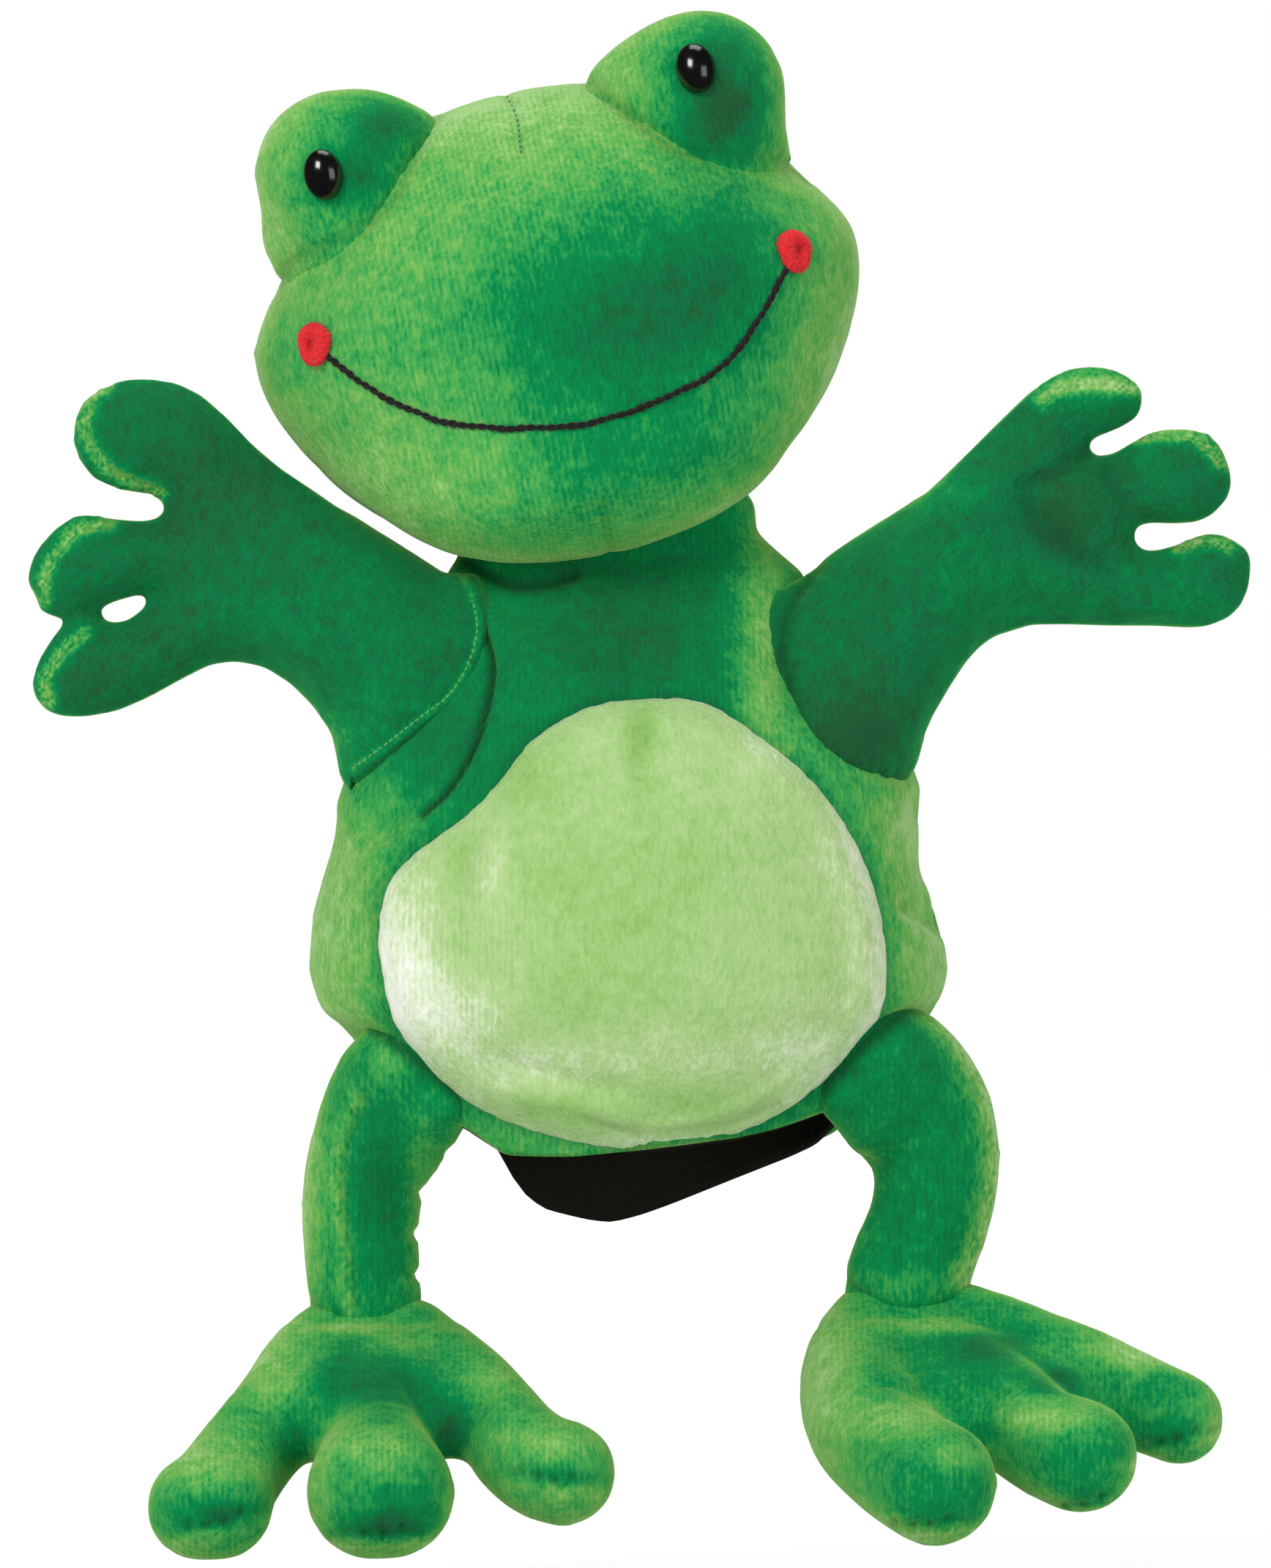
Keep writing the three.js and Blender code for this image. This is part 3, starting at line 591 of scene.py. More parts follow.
class Skin:
    """The points of a pad while its seams are sewn in, its pile is brushed and light and shade are painted on
    it.
    """

    BACK_NAP = 0.36
    BACK_SHARE = 0.7

    def __init__(self, piece, nap=0.0):
        self.piece = piece
        self.at = points(piece)
        self.out = normals(piece)
        # Brushed nap together with painted light and shade.
        self.nap = np.full(len(self.at), nap)
        # Painted shade in seams and creases.
        self.crease = np.zeros(len(self.at))
        self.ribbed = np.ones(len(self.at))
        self.keep = 1.0

    def side(self, facing):
        """1 on the points that face the given way along Y, 0 on the others, soft between."""
        return np.clip(0.5 + 2.5 * facing * self.out[:, 1], 0, 1)

    def lift(self, height):
        """Moves each point outward by a height of its own."""
        self.at += self.out * height[:, None]

    def sink(self, gap, along, depth, width, pucker, pitch, shade, keep):
        """Sinks the points near a sewn line, with uneven puckers across it, and paints shade along the line.
        """
        fall = np.exp(-(gap / width) ** 2) * keep
        wide = np.exp(-(gap / (2.6 * width)) ** 2) * keep
        beat = FULL_TURN * along / pitch
        ripple = (0.6 * np.sin(beat) + 0.5 * np.sin(0.61 * beat + 1.3)) * (0.6 + 0.4 * np.sin(0.23 * beat))
        self.lift(-depth * fall - pucker * ripple * wide)
        self.crease = np.maximum(self.crease, shade * fall)

    def seam(self, line, depth, width, pucker, pitch, shade):
        """Sinks a sewn line of front (x, z) places, with puckers across it, and paints shade along it."""
        gap, along = near(line, self.at[:, (0, 2)])
        self.sink(gap, along, depth, width, pucker, pitch, shade, self.side(-1))

    def groove(self, line, depth, width, shade):
        """Sinks a line without puckers and paints shade along it."""
        self.seam(line, depth, width, 0.0, 1.0, shade)

    def fold(self, line, height, width):
        """Raises a soft fold along a line, or a hollow where the height is negative."""
        gap, along = near(line, self.at[:, (0, 2)])
        ends = np.clip(np.minimum(along, along.max() - along) / width, 0, 1)
        self.lift(height * np.exp(-(gap / width) ** 2) * self.side(-1) * (0.3 + 0.7 * ends) * self.keep)

    def spot(self, x, z, wide, tall):
        """1 at a front place, falling softly to 0 around it."""
        return np.exp(-((self.at[:, 0] - x) / wide) ** 2 - ((self.at[:, 2] - z) / tall) ** 2)

    def stroke(self, x, z, wide, tall, amount):
        """Brushes the pile lighter or darker around a front place, painting light and shade there with the
        nap.
        """
        self.nap += amount * self.spot(x, z, wide, tall) * self.side(-1)

    def fuzz(self, line, width, amount):
        """Brushes a speckled band of pile up along a line: fuzz, and painted light where the line runs along
        an edge.
        """
        x, z = self.at[:, 0], self.at[:, 2]
        gap, _ = near(line, self.at[:, (0, 2)])
        speck = np.sin(3.1 * x + 1.3 * z + 2 * np.sin(1.1 * x - 0.7 * z))
        speck = 0.5 + 0.5 * speck * np.sin(2.7 * z - 1.2 * x + 2 * np.sin(1.4 * z + x))
        self.nap += amount * (0.3 + 0.9 * speck) * np.exp(-(gap / width) ** 2) * self.side(-1)

    def sew(self, rows):
        """Works rows of seams, grooves, folds and fuzzed lines into the piece, in their order."""
        ways = {"seam": self.seam, "groove": self.groove, "fold": self.fold, "fuzz": self.fuzz}
        for kind, *row in rows:
            ways[kind](*row)

    def brush(self, rows):
        for row in rows:
            self.stroke(*row)

    def done(self, grain=(1, 0, 0)):
        """Writes the points and the tones back to the piece."""
        set_points(self.piece, self.at)
        grain = np.asarray(grain, float)
        tones = {
            "nap": self.nap + self.BACK_SHARE * (self.BACK_NAP - self.nap) * self.side(1),
            "crease": self.crease,
            "rib": self.at @ (grain * MM),
            "ribbed": self.ribbed * np.clip(1.1 - 1.4 * (self.out @ grain) ** 2, 0, 1),
        }
        for name, values in tones.items():
            layer = self.piece.data.attributes.new(name, "FLOAT", "POINT")
            layer.data.foreach_set("value", values.astype(np.float32))
        self.piece.data.shade_smooth()


SURFACES = {}


def ground(piece, x, z, needed=True):
    """Where a line from the front at (x, z) meets a piece, and the way the surface faces there."""
    mesh = piece.data
    if piece.name not in SURFACES:
        corners = [vertex.co.copy() for vertex in mesh.vertices]
        SURFACES[piece.name] = BVHTree.FromPolygons(corners, [tuple(p.vertices) for p in mesh.polygons])
    spot, look, _, _ = SURFACES[piece.name].ray_cast(Vector((x * MM, -1, z * MM)), Vector((0, 1, 0)))
    if spot is None and needed:
        raise RuntimeError(f"nothing of {piece.name} is at {x:.1f}, {z:.1f}")
    return (None, None) if spot is None else (np.array(spot) / MM, np.array(look))


def stitches(name, piece, line, pitch, thick):
    """A row of short stitches that lie on a piece along a line of front places."""
    reach = np.linalg.norm(np.diff(spline(line, 60), axis=0), axis=1).sum()
    places = spline(line, int(reach / pitch) + 1)
    rows = []
    for a, b in zip(places[:-1], places[1:]):
        spot, look = ground(piece, *(0.5 * (a + b)), False)
        if spot is None:
            continue
        look = Vector(look).normalized()
        ahead = Vector((b[0] - a[0], 0, b[1] - a[1]))
        ahead = (ahead - look * ahead.dot(look)).normalized()
        turn = Matrix((ahead, look.cross(ahead), look)).transposed().to_euler()
        rows.append((Vector(spot * MM) + look * 0.1 * thick * MM, turn, (0.4 * pitch, thick, thick)))
    row = strung(name, stitch, rows)
    row.data.shade_smooth()
    return row


def settle(piece, finish, nodes, rides=None):
    """Gives a piece its finish, the nodes it stands for and the body it moves with."""
    dress(piece, finish)
    if nodes:
        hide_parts(*nodes)
    if rides:
        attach(piece, rides)


# Head

HEAD_RISE = (-50.5, -49.6, -47.5, -44.3, -40, -36, -33.3, -26.4, -19.4, -9, 0, 4.5, 9,
             13.5, 18, 25, 32, 38, 42, 45, 46.5)
HEAD_HALF = (0, 12.5, 22.4, 30.8, 37.2, 41.1, 44.4, 50.9, 55.7, 61, 63.2, 63, 60.8,
             57.7, 54.4, 50, 44, 36.5, 29, 18, 0)
HEAD_LEVEL = -2
HEAD_TALL = 48.5
HEAD_BACK = 2
FACE_DEEP = 46.0
NAPE_DEEP = 43.0
CHIN_TOP = -14
CHIN_SPAN = 30
CHIN_OUT = 15
SEWN_REACH = 2.5
# Base pile values of the pieces: nap together with painted light and shade.
HEAD_NAP_AND_LIGHT = 0.61
DOME_NAP_AND_LIGHT = 0.5
DOMES = {
    "left": ([(35.8, -9, 28, 17.2), (38, -11, 37.6, 17)],
             [(26, -6, 37.5, 13), (31, -8, 37.6, 15.4), (34, -9, 37.6, 16.4)],
             [(43.4, -7, 24.5, 10), (44.2, -7, 22.5, 8.8)]),
    "right": ([(-35.8, -9, 28, 17.2), (-38, -11, 37, 16.9)],
              [(-26.4, -6, 37, 12.4), (-31, -8, 37.2, 15), (-34, -9, 37.4, 16.2)],
              [(-44.4, -8, 27, 11.6), (-45.4, -7, 22.6, 9.6)]),
}
EYES = {"left": (37.7, 42.4), "right": (-40.9, 37.0)}
KNOTS = {"left": (49.3, 1.9), "right": (-49.4, 3.7)}
DOME_SEAM = [(14, 47), (20, 39.5), (26.4, 31.7), (31, 27.3), (38, 24.2), (44.4, 22.5), (51, 21.2), (56, 16)]
DART = [(-1.4, 47), (-0.6, 44), (0.1, 40), (-0.3, 36), (-0.7, 32.6)]
CHIN_SEAM = [(0.5, -41), (0, -51)]
# Painted shade over the middle and right of the face and under the chin, painted light over the forehead and
# cheeks, with the brushed nap.
HEAD_BRUSH = [
    (15, -6, 36, 22, -0.48), (36, 8, 17, 14, -0.22), (14, -33, 28, 9, -0.2), (-4, -40, 30, 10, -0.12),
    (-6, 43, 26, 8, 0.15), (-56, 4, 8, 12, -0.16), (-36, -27, 18, 12, 0.1), (52, -19, 11, 14, 0.2),
    (-2, -48, 26, 5, -0.14), (-28, 18, 18, 12, 0.04),
]
# Light and shade painted on the domes with the brushed nap, darker round each eye.
DOME_BRUSH = {
    "left": [(22, 43, 8, 9, 0.16), (43, 34, 9, 11, -0.46), (35, 29, 8, 5, -0.16), (47, 47, 7, 6, -0.2)],
    "right": [(-25, 45, 9, 6, -0.4), (-33, 35, 7, 6, -0.3), (-48, 46, 8, 6, 0.1), (-52, 28, 5, 14, 0.15)],
}
EYE_BRUSH = (7, 8, -0.2)


def dome_seam(sign):
    return on_face((sign * across, up) for across, up in DOME_SEAM)


class PUPPET_OT_head(bpy.types.Operator):
    """Sews and stuffs the head"""

    bl_idname = "puppet.head"
    bl_label = "Head"

    def execute(self, context):
        deselect()
        bpy.ops.mesh.primitive_uv_sphere_add(segments=64, ring_count=40, radius=MM)
        head = named("head")
        ball = points(head)
        rise = HEAD_LEVEL + HEAD_TALL * ball[:, 2]
        round_share = np.maximum(np.hypot(ball[:, 0], ball[:, 1]), 1e-6)
        half = np.interp(rise, HEAD_RISE, HEAD_HALF)
        deep = np.where(ball[:, 1] < 0, FACE_DEEP, NAPE_DEEP) * np.sqrt(np.clip(1 - ball[:, 2] ** 2, 0, 1))
        across = half * ball[:, 0] / round_share
        forward = HEAD_BACK + deep * ball[:, 1] / round_share - CHIN_OUT * ease((CHIN_TOP - rise) / CHIN_SPAN)
        front = HEAD_MIDDLE + across[:, None] * HEAD_ACROSS + rise[:, None] * HEAD_UP
        set_points(head, np.column_stack([front[:, 0], forward, front[:, 1]]))
        remesh(head, voxel=3.0, relax=8)
        dart, chin = on_face(DART), on_face(CHIN_SEAM)
        gaps = [near(line, points(head)[:, (0, 2)])[0] for line in (dart, chin)]
        puff(head, cap=1.0, sewn=np.min(gaps, axis=0) < SEWN_REACH, spare=0.008)
        refine(head, 2)
        skin = Skin(head, HEAD_NAP_AND_LIGHT)
        skin.seam(dart, depth=0.5, width=0.8, pucker=0.1, pitch=2.2, shade=0.2)
        skin.seam(chin, depth=0.5, width=1.0, pucker=0.2, pitch=2.4, shade=0.1)
        for sign in (-1, 1):
            skin.seam(dome_seam(sign), depth=0.6, width=1.4, pucker=0.15, pitch=3.1, shade=0.2)
        skin.brush(on_face(HEAD_BRUSH))
        skin.done(HEAD_GRAIN)
        settle(head, "green_plush", ("head_skin", "head_stuffing"), "head")
        row = stitches("forehead_stitches", head, dart, pitch=1.1, thick=0.22)
        settle(row, "thread_green", (), "head")
        return {"FINISHED"}


class PUPPET_OT_eye_domes(bpy.types.Operator):
    """Sews and stuffs the two eye domes"""

    bl_idname = "puppet.eye_domes"
    bl_label = "Eye domes"

    def execute(self, context):
        for name, sign in (("left", 1), ("right", -1)):
            dome = pad_of(f"{name}_dome", [face_rows(rows) for rows in DOMES[name]], voxel=2.2, relax=8)
            puff(dome, cap=1.0)
            refine(dome, 1)
            skin = Skin(dome, DOME_NAP_AND_LIGHT)
            skin.seam(dome_seam(sign), depth=0.5, width=1.4, pucker=0.2, pitch=2.7, shade=0.2)
            skin.brush(on_face([(*EYES[name], *EYE_BRUSH), *DOME_BRUSH[name]]))
            skin.done(HEAD_GRAIN)
            settle(dome, "green_plush", (f"{name}_eye_dome", f"{name}_dome_stuffing"), "head")
        return {"FINISHED"}


def set_on(piece, spot, look, height):
    """Moves a piece made at the origin, looking along +Z, onto a surface."""
    across = unit(np.cross((HEAD_UP[0], 0, HEAD_UP[1]), look))
    rise = np.cross(look, across)
    where = points(piece)
    set_points(piece, where[:, :1] * across + where[:, 1:2] * rise + (where[:, 2:] + height) * look + spot)
    outward(piece)


EYE_FRONT = 3.5
EYE_BACK = 1.1


class PUPPET_OT_eyes(bpy.types.Operator):
    """Turns the two bead eyes with their shanks"""

    bl_idname = "puppet.eyes"
    bl_label = "Eyes"

    def execute(self, context):
        sizes = context.scene.puppet_sizes
        wide, tall = sizes.eye_width / MM / 2, sizes.eye_tall / MM / 2
        for name, place in EYES.items():
            deselect()
            bpy.ops.mesh.primitive_uv_sphere_add(segments=40, ring_count=24, radius=MM)
            eye = named(f"{name}_bead")
            x, y, z = points(eye).T
            set_points(eye, np.column_stack([wide * x, tall * y, np.where(z > 0, EYE_FRONT, EYE_BACK) * z]))
            with editing(eye):
                bpy.ops.mesh.primitive_cylinder_add(
                    vertices=20, radius=1.3 * MM, depth=7 * MM, location=(0, 0, -4.2 * MM))
            spot, look = ground(bpy.data.objects[f"{name}_dome"], *face(*place))
            set_on(eye, spot, unit(look), height=0.2)
            bpy.ops.object.shade_smooth_by_angle(angle=math.radians(50))
            settle(eye, "eye_plastic", (f"{name}_eye",), "head")
            dress(bpy.data.objects[f"{name}_eye_washer"], "washer_plastic")
        return {"FINISHED"}


MOUTH = [
    (-1.014, 0.022), (-0.820, -0.408), (-0.584, -0.746), (-0.382, -0.888), (-0.192, -0.977),
    (0.055, -1.032), (0.296, -0.978), (0.486, -0.895), (0.654, -0.766), (0.785, -0.549), (0.914, -0.275),
    (1.012, -0.025),
]
MOUTH_STEPS = 61
CORD_STEPS = 420
CORD_TWIST = 0.42
CORD_LIFT = 0.25
CORD_OVERLAP = 1.12


class PUPPET_OT_mouth(bpy.types.Operator):
    """Lays the twisted cord of the smile on the face"""

    bl_idname = "puppet.mouth"
    bl_label = "Mouth cord"

    def execute(self, context):
        sizes = context.scene.puppet_sizes
        half, drop = sizes.mouth_width / MM / 2, sizes.mouth_drop / MM
        strand = sizes.mouth_cord / MM / 4
        head = bpy.data.objects["head"]
        path = []
        for number, (across, up) in enumerate(spline(MOUTH, MOUTH_STEPS)):
            sway = 0.12 * math.sin(1.03 * number) + 0.08 * math.sin(1.77 * number + 1)
            spot, look = ground(head, *face(across * half, sway + up * drop))
            path.append(np.concatenate([spot + look * CORD_LIFT, look]))
        path = spline(path, CORD_STEPS)
        look = unit(path[:, 3:])
        beside = np.cross(unit(np.gradient(path[:, :3], axis=0)), look)
        turn = np.arange(CORD_STEPS) * CORD_TWIST
        curve = bpy.data.curves.new("mouth_cord", "CURVE")
        curve.dimensions = "3D"
        curve.bevel_depth = strand * CORD_OVERLAP * MM
        curve.bevel_resolution = 2
        curve.use_fill_caps = True
        for phase in (0, math.pi):
            angle = (turn + phase)[:, None]
            line = path[:, :3] + strand * (np.cos(angle) * beside + np.sin(angle) * look)
            thread = curve.splines.new("POLY")
            thread.points.add(len(line) - 1)
            thread.points.foreach_set("co", np.column_stack([line * MM, np.ones(len(line))]).ravel())
            thread.points.foreach_set("radius", 1 + 0.14 * np.sin(turn * 0.31) + 0.1 * np.sin(turn * 0.83))
        cord = bpy.data.objects.new("mouth_cord", curve)
        context.collection.objects.link(cord)
        activate(cord)
        bpy.ops.object.convert(target="MESH")
        cord = context.object
        cord.data.shade_smooth()
        settle(cord, "thread_black", ("mouth_thread",), "head")
        return {"FINISHED"}


KNOT_RING = 0.54
KNOT_FAT = 0.46
KNOT_HIGH = 3.6
KNOT_WRAPS = 24


class PUPPET_OT_cheek_knots(bpy.types.Operator):
    """Winds the two red knots at the ends of the smile"""

    bl_idname = "puppet.cheek_knots"
    bl_label = "Cheek knots"

    def execute(self, context):
        sizes = context.scene.puppet_sizes
        wide, tall = sizes.knot_width / MM / 2, sizes.knot_tall / MM / 2
        for name, place in KNOTS.items():
            deselect()
            bpy.ops.mesh.primitive_torus_add(
                major_segments=168, minor_segments=18,
                major_radius=KNOT_RING * MM, minor_radius=KNOT_FAT * MM)
            knot = named(f"{name}_knot")
            x, y, z = points(knot).T
            turn = np.arctan2(y, x)
            around = np.arctan2(z, np.hypot(x, y) - KNOT_RING)
            wraps = 1 + 0.075 * np.cos(KNOT_WRAPS * turn + 2 * around)
            fat = KNOT_FAT * (wraps + 0.05 * np.sin(5 * turn + 1) * np.cos(around))
            flat = (KNOT_RING + fat * np.cos(around)) * (1 + 0.05 * np.sin(3 * turn + 0.6))
            set_points(knot, np.column_stack([
                wide * flat * np.cos(turn), tall * flat * np.sin(turn), KNOT_HIGH * fat * np.sin(around)]))
            with editing(knot):
                bpy.ops.mesh.primitive_uv_sphere_add(
                    segments=24, ring_count=12, radius=1.6 * MM, scale=(0.9, 1.1, 0.45))
            set_on(knot, *ground(bpy.data.objects["head"], *face(*place)), height=0.7)
            knot.data.shade_smooth()
            settle(knot, "thread_red", (f"{name}_cheek_knot",), "head")
        return {"FINISHED"}


# Body

BODY_RISE = (-16, 0, 8, 15, 23, 30, 38, 50, 62, 75, 82, 88, 94, 100, 106, 115, 124, 134, 143, 148, 150)
BODY_HALF = (
    36, 41, 45, 50, 57, 63, 65, 63.6, 60.4, 58.4, 55, 49.5, 43.5, 38.5, 35, 32, 30.5, 29, 23, 14, 0.5,
)
BODY_DEEP = (
    26, 30, 34, 38, 42, 44.5, 46, 46, 44.5, 41.5, 39.5, 37.5, 35.5, 34, 32, 28, 22.5, 17.5, 14, 9, 0.5,
)
BODY_TUCK = ((96, 0), (106, 1.5), (115, 5), (122, 7), (130, 5), (140, 1))
LEFT_SIDE = (
    (40, 0), (46, 0), (52, -0.8), (58, -2.6), (66, -0.6), (75, 1.5), (80, 1.8), (84, 2.8), (90, 2), (96, 1),
    (100, 2), (106, 6), (112, 8), (119.6, 9), (124, 4.6), (128, 0.8), (133, 1.3), (140, 1),
)
RIGHT_SIDE = (
    (26, 0), (33, 0.8), (40, 1.2), (50, 1.6), (60, 1.4), (70, 0.5), (75, 0.6), (79, 1.8), (84, 2.5),
    (90, 1.5), (100, 1), (112, 2.4), (119.6, 2), (123, 0), (128, 0),
)
FRONT_HEM = ((-50, 14), (-41, 9), (-33, 5.7), (-25.8, 0.2), (-12, 0), (2.7, 1), (20.7, 3.3), (29.7, 5.6),
             (38.7, 8.9), (50, 13))
BACK_HEM = (
    (-50, 16), (-34, 11), (-28, 4.5), (-25.6, -2), (-24, -6.5), (-18, -10.8), (-9, -13), (-4, -13.7),
    (2.7, -12), (8.7, -9.8), (20.7, -4.8), (32.7, 0), (44.7, 6), (50, 13),
)
PATCH_EDGE = [
    (-51.8, 45), (-50, 55), (-45, 61.5), (-33, 70.5), (-26, 78), (-20, 85.5), (-9, 92), (2.7, 93.8),
    (15, 93), (27, 85.5), (37, 77), (45, 66), (50, 54), (52.2, 40), (50.7, 28.5), (44, 20), (32.7, 10.5),
    (20.7, 4.8), (8.7, 1.8), (-9, 3), (-27, 8.2), (-39, 15.8), (-48, 27), (-51, 39),
]
PATCH_ROUND = PATCH_EDGE + PATCH_EDGE[:1]
PATCH_MIDDLE = np.array((0.0, 48.0))
PATCH_RAISE = 2.4
CROWN = 140
CROWN_CROWDING = 0.92
LEAST_HALF = 0.3
DEEPER_FROM = 5
DEEPER_SPAN = 14
SIDE_SEAM_BACK = 3
SIDE_SEAM_TOP = 96
SIDE_SEAM_FADE = 10
LEAN_LOW = 76
LEAN_SPAN = 50
LEAN_RIGHT = 5
LEAN_BACK = 2
# Base pile value: nap together with painted light and shade.
BODY_NAP_AND_LIGHT = 0.3
BODY_SEWING = [
    ("groove", PATCH_ROUND, 1.0, 2.0, 0.3),
    ("seam", [(-1.5, 106), (-0.5, 94)], 0.7, 0.9, 0.15, 2.2, 0.2),
    # Dark creases at the armhole and under the chin, deepened with painted shade.
    ("groove", [(-30.5, 110), (-28.5, 100.7), (-30, 91), (-33, 82.6), (-37.6, 75.3), (-43, 70.5)],
     1.5, 0.9, 0.95),
    ("groove", [(-34, 122), (-27, 118.6), (-19, 117.6), (-12, 119)], 1.2, 1.5, 0.7),
    ("fold", [(-34, 120), (-20, 111), (-4, 104), (8, 100)], -1.8, 4.5),
    ("fold", [(-34, 113), (-22, 105), (-8, 98)], 1.3, 4.0),
    ("fold", [(-40, 80), (-48, 71), (-56, 64)], -2.2, 4.0),
    ("fold", [(-60, 76), (-54, 64), (-50, 48)], 1.5, 4.0),
    ("fold", [(67, 46), (61, 50), (55, 54)], -3.2, 2.6),
    ("fold", [(67, 55), (60, 58)], 1.6, 4.0),
    ("fold", [(58, 76), (62, 66)], -1.6, 3.0),
    ("fold", [(-64, 26), (-56, 24), (-46, 19)], -2.0, 3.0),
    ("fold", [(66, 30), (58, 29), (50, 24)], -1.8, 3.0),
]
# Painted light along the sides and beside the arm, painted shade on the chest under the chin, with the
# brushed nap.
BODY_BRUSH = [
    (-2, 108, 25, 20, -0.22), (-38, 86, 12, 14, -0.12), (-59, 44, 10, 24, 0.42), (60, 42, 9, 18, 0.42),
    (56, 68, 8, 12, 0.36), (27, 104, 5, 26, 0.44), (-52, 68, 8, 9, 0.16), (0, 2, 30, 5, 0.26),
    (46, 74, 9, 7, 0.16), (34, 84, 8, 8, 0.14), (-30, 6, 10, 6, 0.14),
]


def patch_inside(where):
    """How far front places lie inside the edge of the belly patch, measured along its spokes."""
    spoke = spline(PATCH_ROUND, 240) - PATCH_MIDDLE
    order = np.argsort(np.arctan2(spoke[:, 1], spoke[:, 0]))
    angles, reaches = np.arctan2(spoke[:, 1], spoke[:, 0])[order], np.hypot(*spoke.T)[order]
    away = where - PATCH_MIDDLE
    reach = np.interp(np.arctan2(away[:, 1], away[:, 0]), angles, reaches, period=FULL_TURN)
    return reach - np.hypot(*away.T)


def patch_rise(inside):
    """How far the belly patch stands off the cloth sunk behind it."""
    return PATCH_RAISE * np.clip((inside - 1.5) / 4, 0, 1)


def read_off(rows, at):
    """Reads a table of (place, value) rows."""
    return np.interp(at, *zip(*rows))


def glove(name, inset, deeper, hem_drop, around, tall):
    """A tube of cloth wrapped from a grid, closed over the neck, lying deeper above the hem."""
    piece, turn, share = wrapping(name, around, tall)
    low = np.interp(0, BODY_RISE, BODY_HALF) - inset
    behind = np.clip(0.5 - 1.8 * np.cos(turn), 0, 1)
    for _ in range(3):
        x_low = low * np.sin(turn)
        front = read_off(FRONT_HEM, x_low)
        hem = front + (read_off(BACK_HEM, x_low) - front - hem_drop) * behind
        low = np.interp(hem, BODY_RISE, BODY_HALF) - inset
    rise = hem + (BODY_RISE[-1] - inset - hem) * share ** CROWN_CROWDING
    inset = inset + deeper * np.clip((rise - hem - DEEPER_FROM) / DEEPER_SPAN, 0, 1)
    level = rise + inset * (rise > CROWN)
    half = np.maximum(np.interp(level, BODY_RISE, BODY_HALF) - inset, LEAST_HALF)
    deep = np.maximum(np.interp(level, BODY_RISE, BODY_DEEP) - inset, LEAST_HALF)
    lean = ease((rise - LEAN_LOW) / LEAN_SPAN)
    out = np.where(turn > 0, read_off(LEFT_SIDE, rise), read_off(RIGHT_SIDE, rise))
    x = (half + out * np.abs(np.sin(turn))) * np.sin(turn) - LEAN_RIGHT * lean
    deep = deep - read_off(BODY_TUCK, rise) * np.clip(np.cos(turn), 0, 1)
    set_points(piece, np.column_stack([x, LEAN_BACK * lean - deep * np.cos(turn), rise]))
    weld(piece)
    turned(piece, points(piece) * (1, 1, 0))
    apply(piece, "SMOOTH", factor=0.4, iterations=3)
    return piece


class PUPPET_OT_body(bpy.types.Operator):
    """Sews the plush glove of the body"""

    bl_idname = "puppet.body"
    bl_label = "Body"

    def execute(self, context):
        body = glove("body", inset=0.0, deeper=0.0, hem_drop=0.0, around=120, tall=90)
        refine(body, 1)
        skin = Skin(body, BODY_NAP_AND_LIGHT)
        skin.lift(-patch_rise(patch_inside(skin.at[:, (0, 2)])) * skin.side(-1))
        skin.sew(BODY_SEWING)
        for turn in (-1, 1):
            gap = np.abs(skin.at[:, 1] - SIDE_SEAM_BACK)
            low = np.clip((SIDE_SEAM_TOP - skin.at[:, 2]) / SIDE_SEAM_FADE, 0, 1)
            keep = (np.sign(skin.at[:, 0]) == turn) * low
            skin.sink(gap, skin.at[:, 2], depth=0.8, width=1.2, pucker=0.1, pitch=3.6, shade=0.35, keep=keep)
        skin.brush(BODY_BRUSH)
        skin.done()
        apply(body, "SOLIDIFY", thickness=context.scene.puppet_sizes.plush, offset=-1.0, use_even_offset=True)
        settle(body, "green_plush", ("body_front_panel", "body_back_panel"), "torso")
        return {"FINISHED"}


class PUPPET_OT_lining(bpy.types.Operator):
    """Sews the black lining of the body"""

    bl_idname = "puppet.lining"
    bl_label = "Lining"

    def execute(self, context):
        lining = glove("body_lining", inset=2.5, deeper=3.0, hem_drop=0.9, around=96, tall=70)
        skin = Skin(lining)
        skin.lift(0.5 * np.sin(skin.at[:, 2] / 5.0 + np.sin(skin.at[:, 0] / 9.0)))
        set_points(lining, skin.at)
        lining.data.shade_smooth()
        apply(lining, "SOLIDIFY", thickness=context.scene.puppet_sizes.lining, offset=-1.0)
        settle(lining, "lining_black", ("lining_front", "lining_back"), "torso")
        return {"FINISHED"}


# Base pile value: nap together with painted light and shade.
BELLY_NAP_AND_LIGHT = 0.36
BELLY_THICK = 1.1
CENTRE_SHARE = 0.0001
RIM_CROWDING = 1.15
BELLY_KNIT = (-36, 42, 17, 26)
EDGE_HIGH = 1.4
EDGE_SOFT = 1.8
RAGGED_EDGE = ((0.16, 61, 0), (0.14, 87, 1), (0.1, 43, 0))
BELLY_SEWING = [
    ("fold", [(2, 95), (2.5, 84), (2, 76)], -1.2, 2.2),
    ("fold", [(-31, 73), (-33, 64), (-37, 56)], -1.6, 3.0),
    ("fold", [(-26, 74), (-28, 62), (-31, 52)], 1.2, 3.4),
    ("groove", [(-9, 8.4), (-4, 6.6), (2, 5.2)], 0.5, 1.0, 0.3),
    ("groove", [(4.4, 5.6), (14, 6.4), (22, 8.2), (30, 11.4)], 0.4, 0.9, 0.24),
    ("fold", [(-24, 14), (-10, 11), (2, 9)], 1.2, 2.4),
    ("fold", [(-28, 20), (-12, 15.6), (0, 14)], -0.8, 2.4),
]
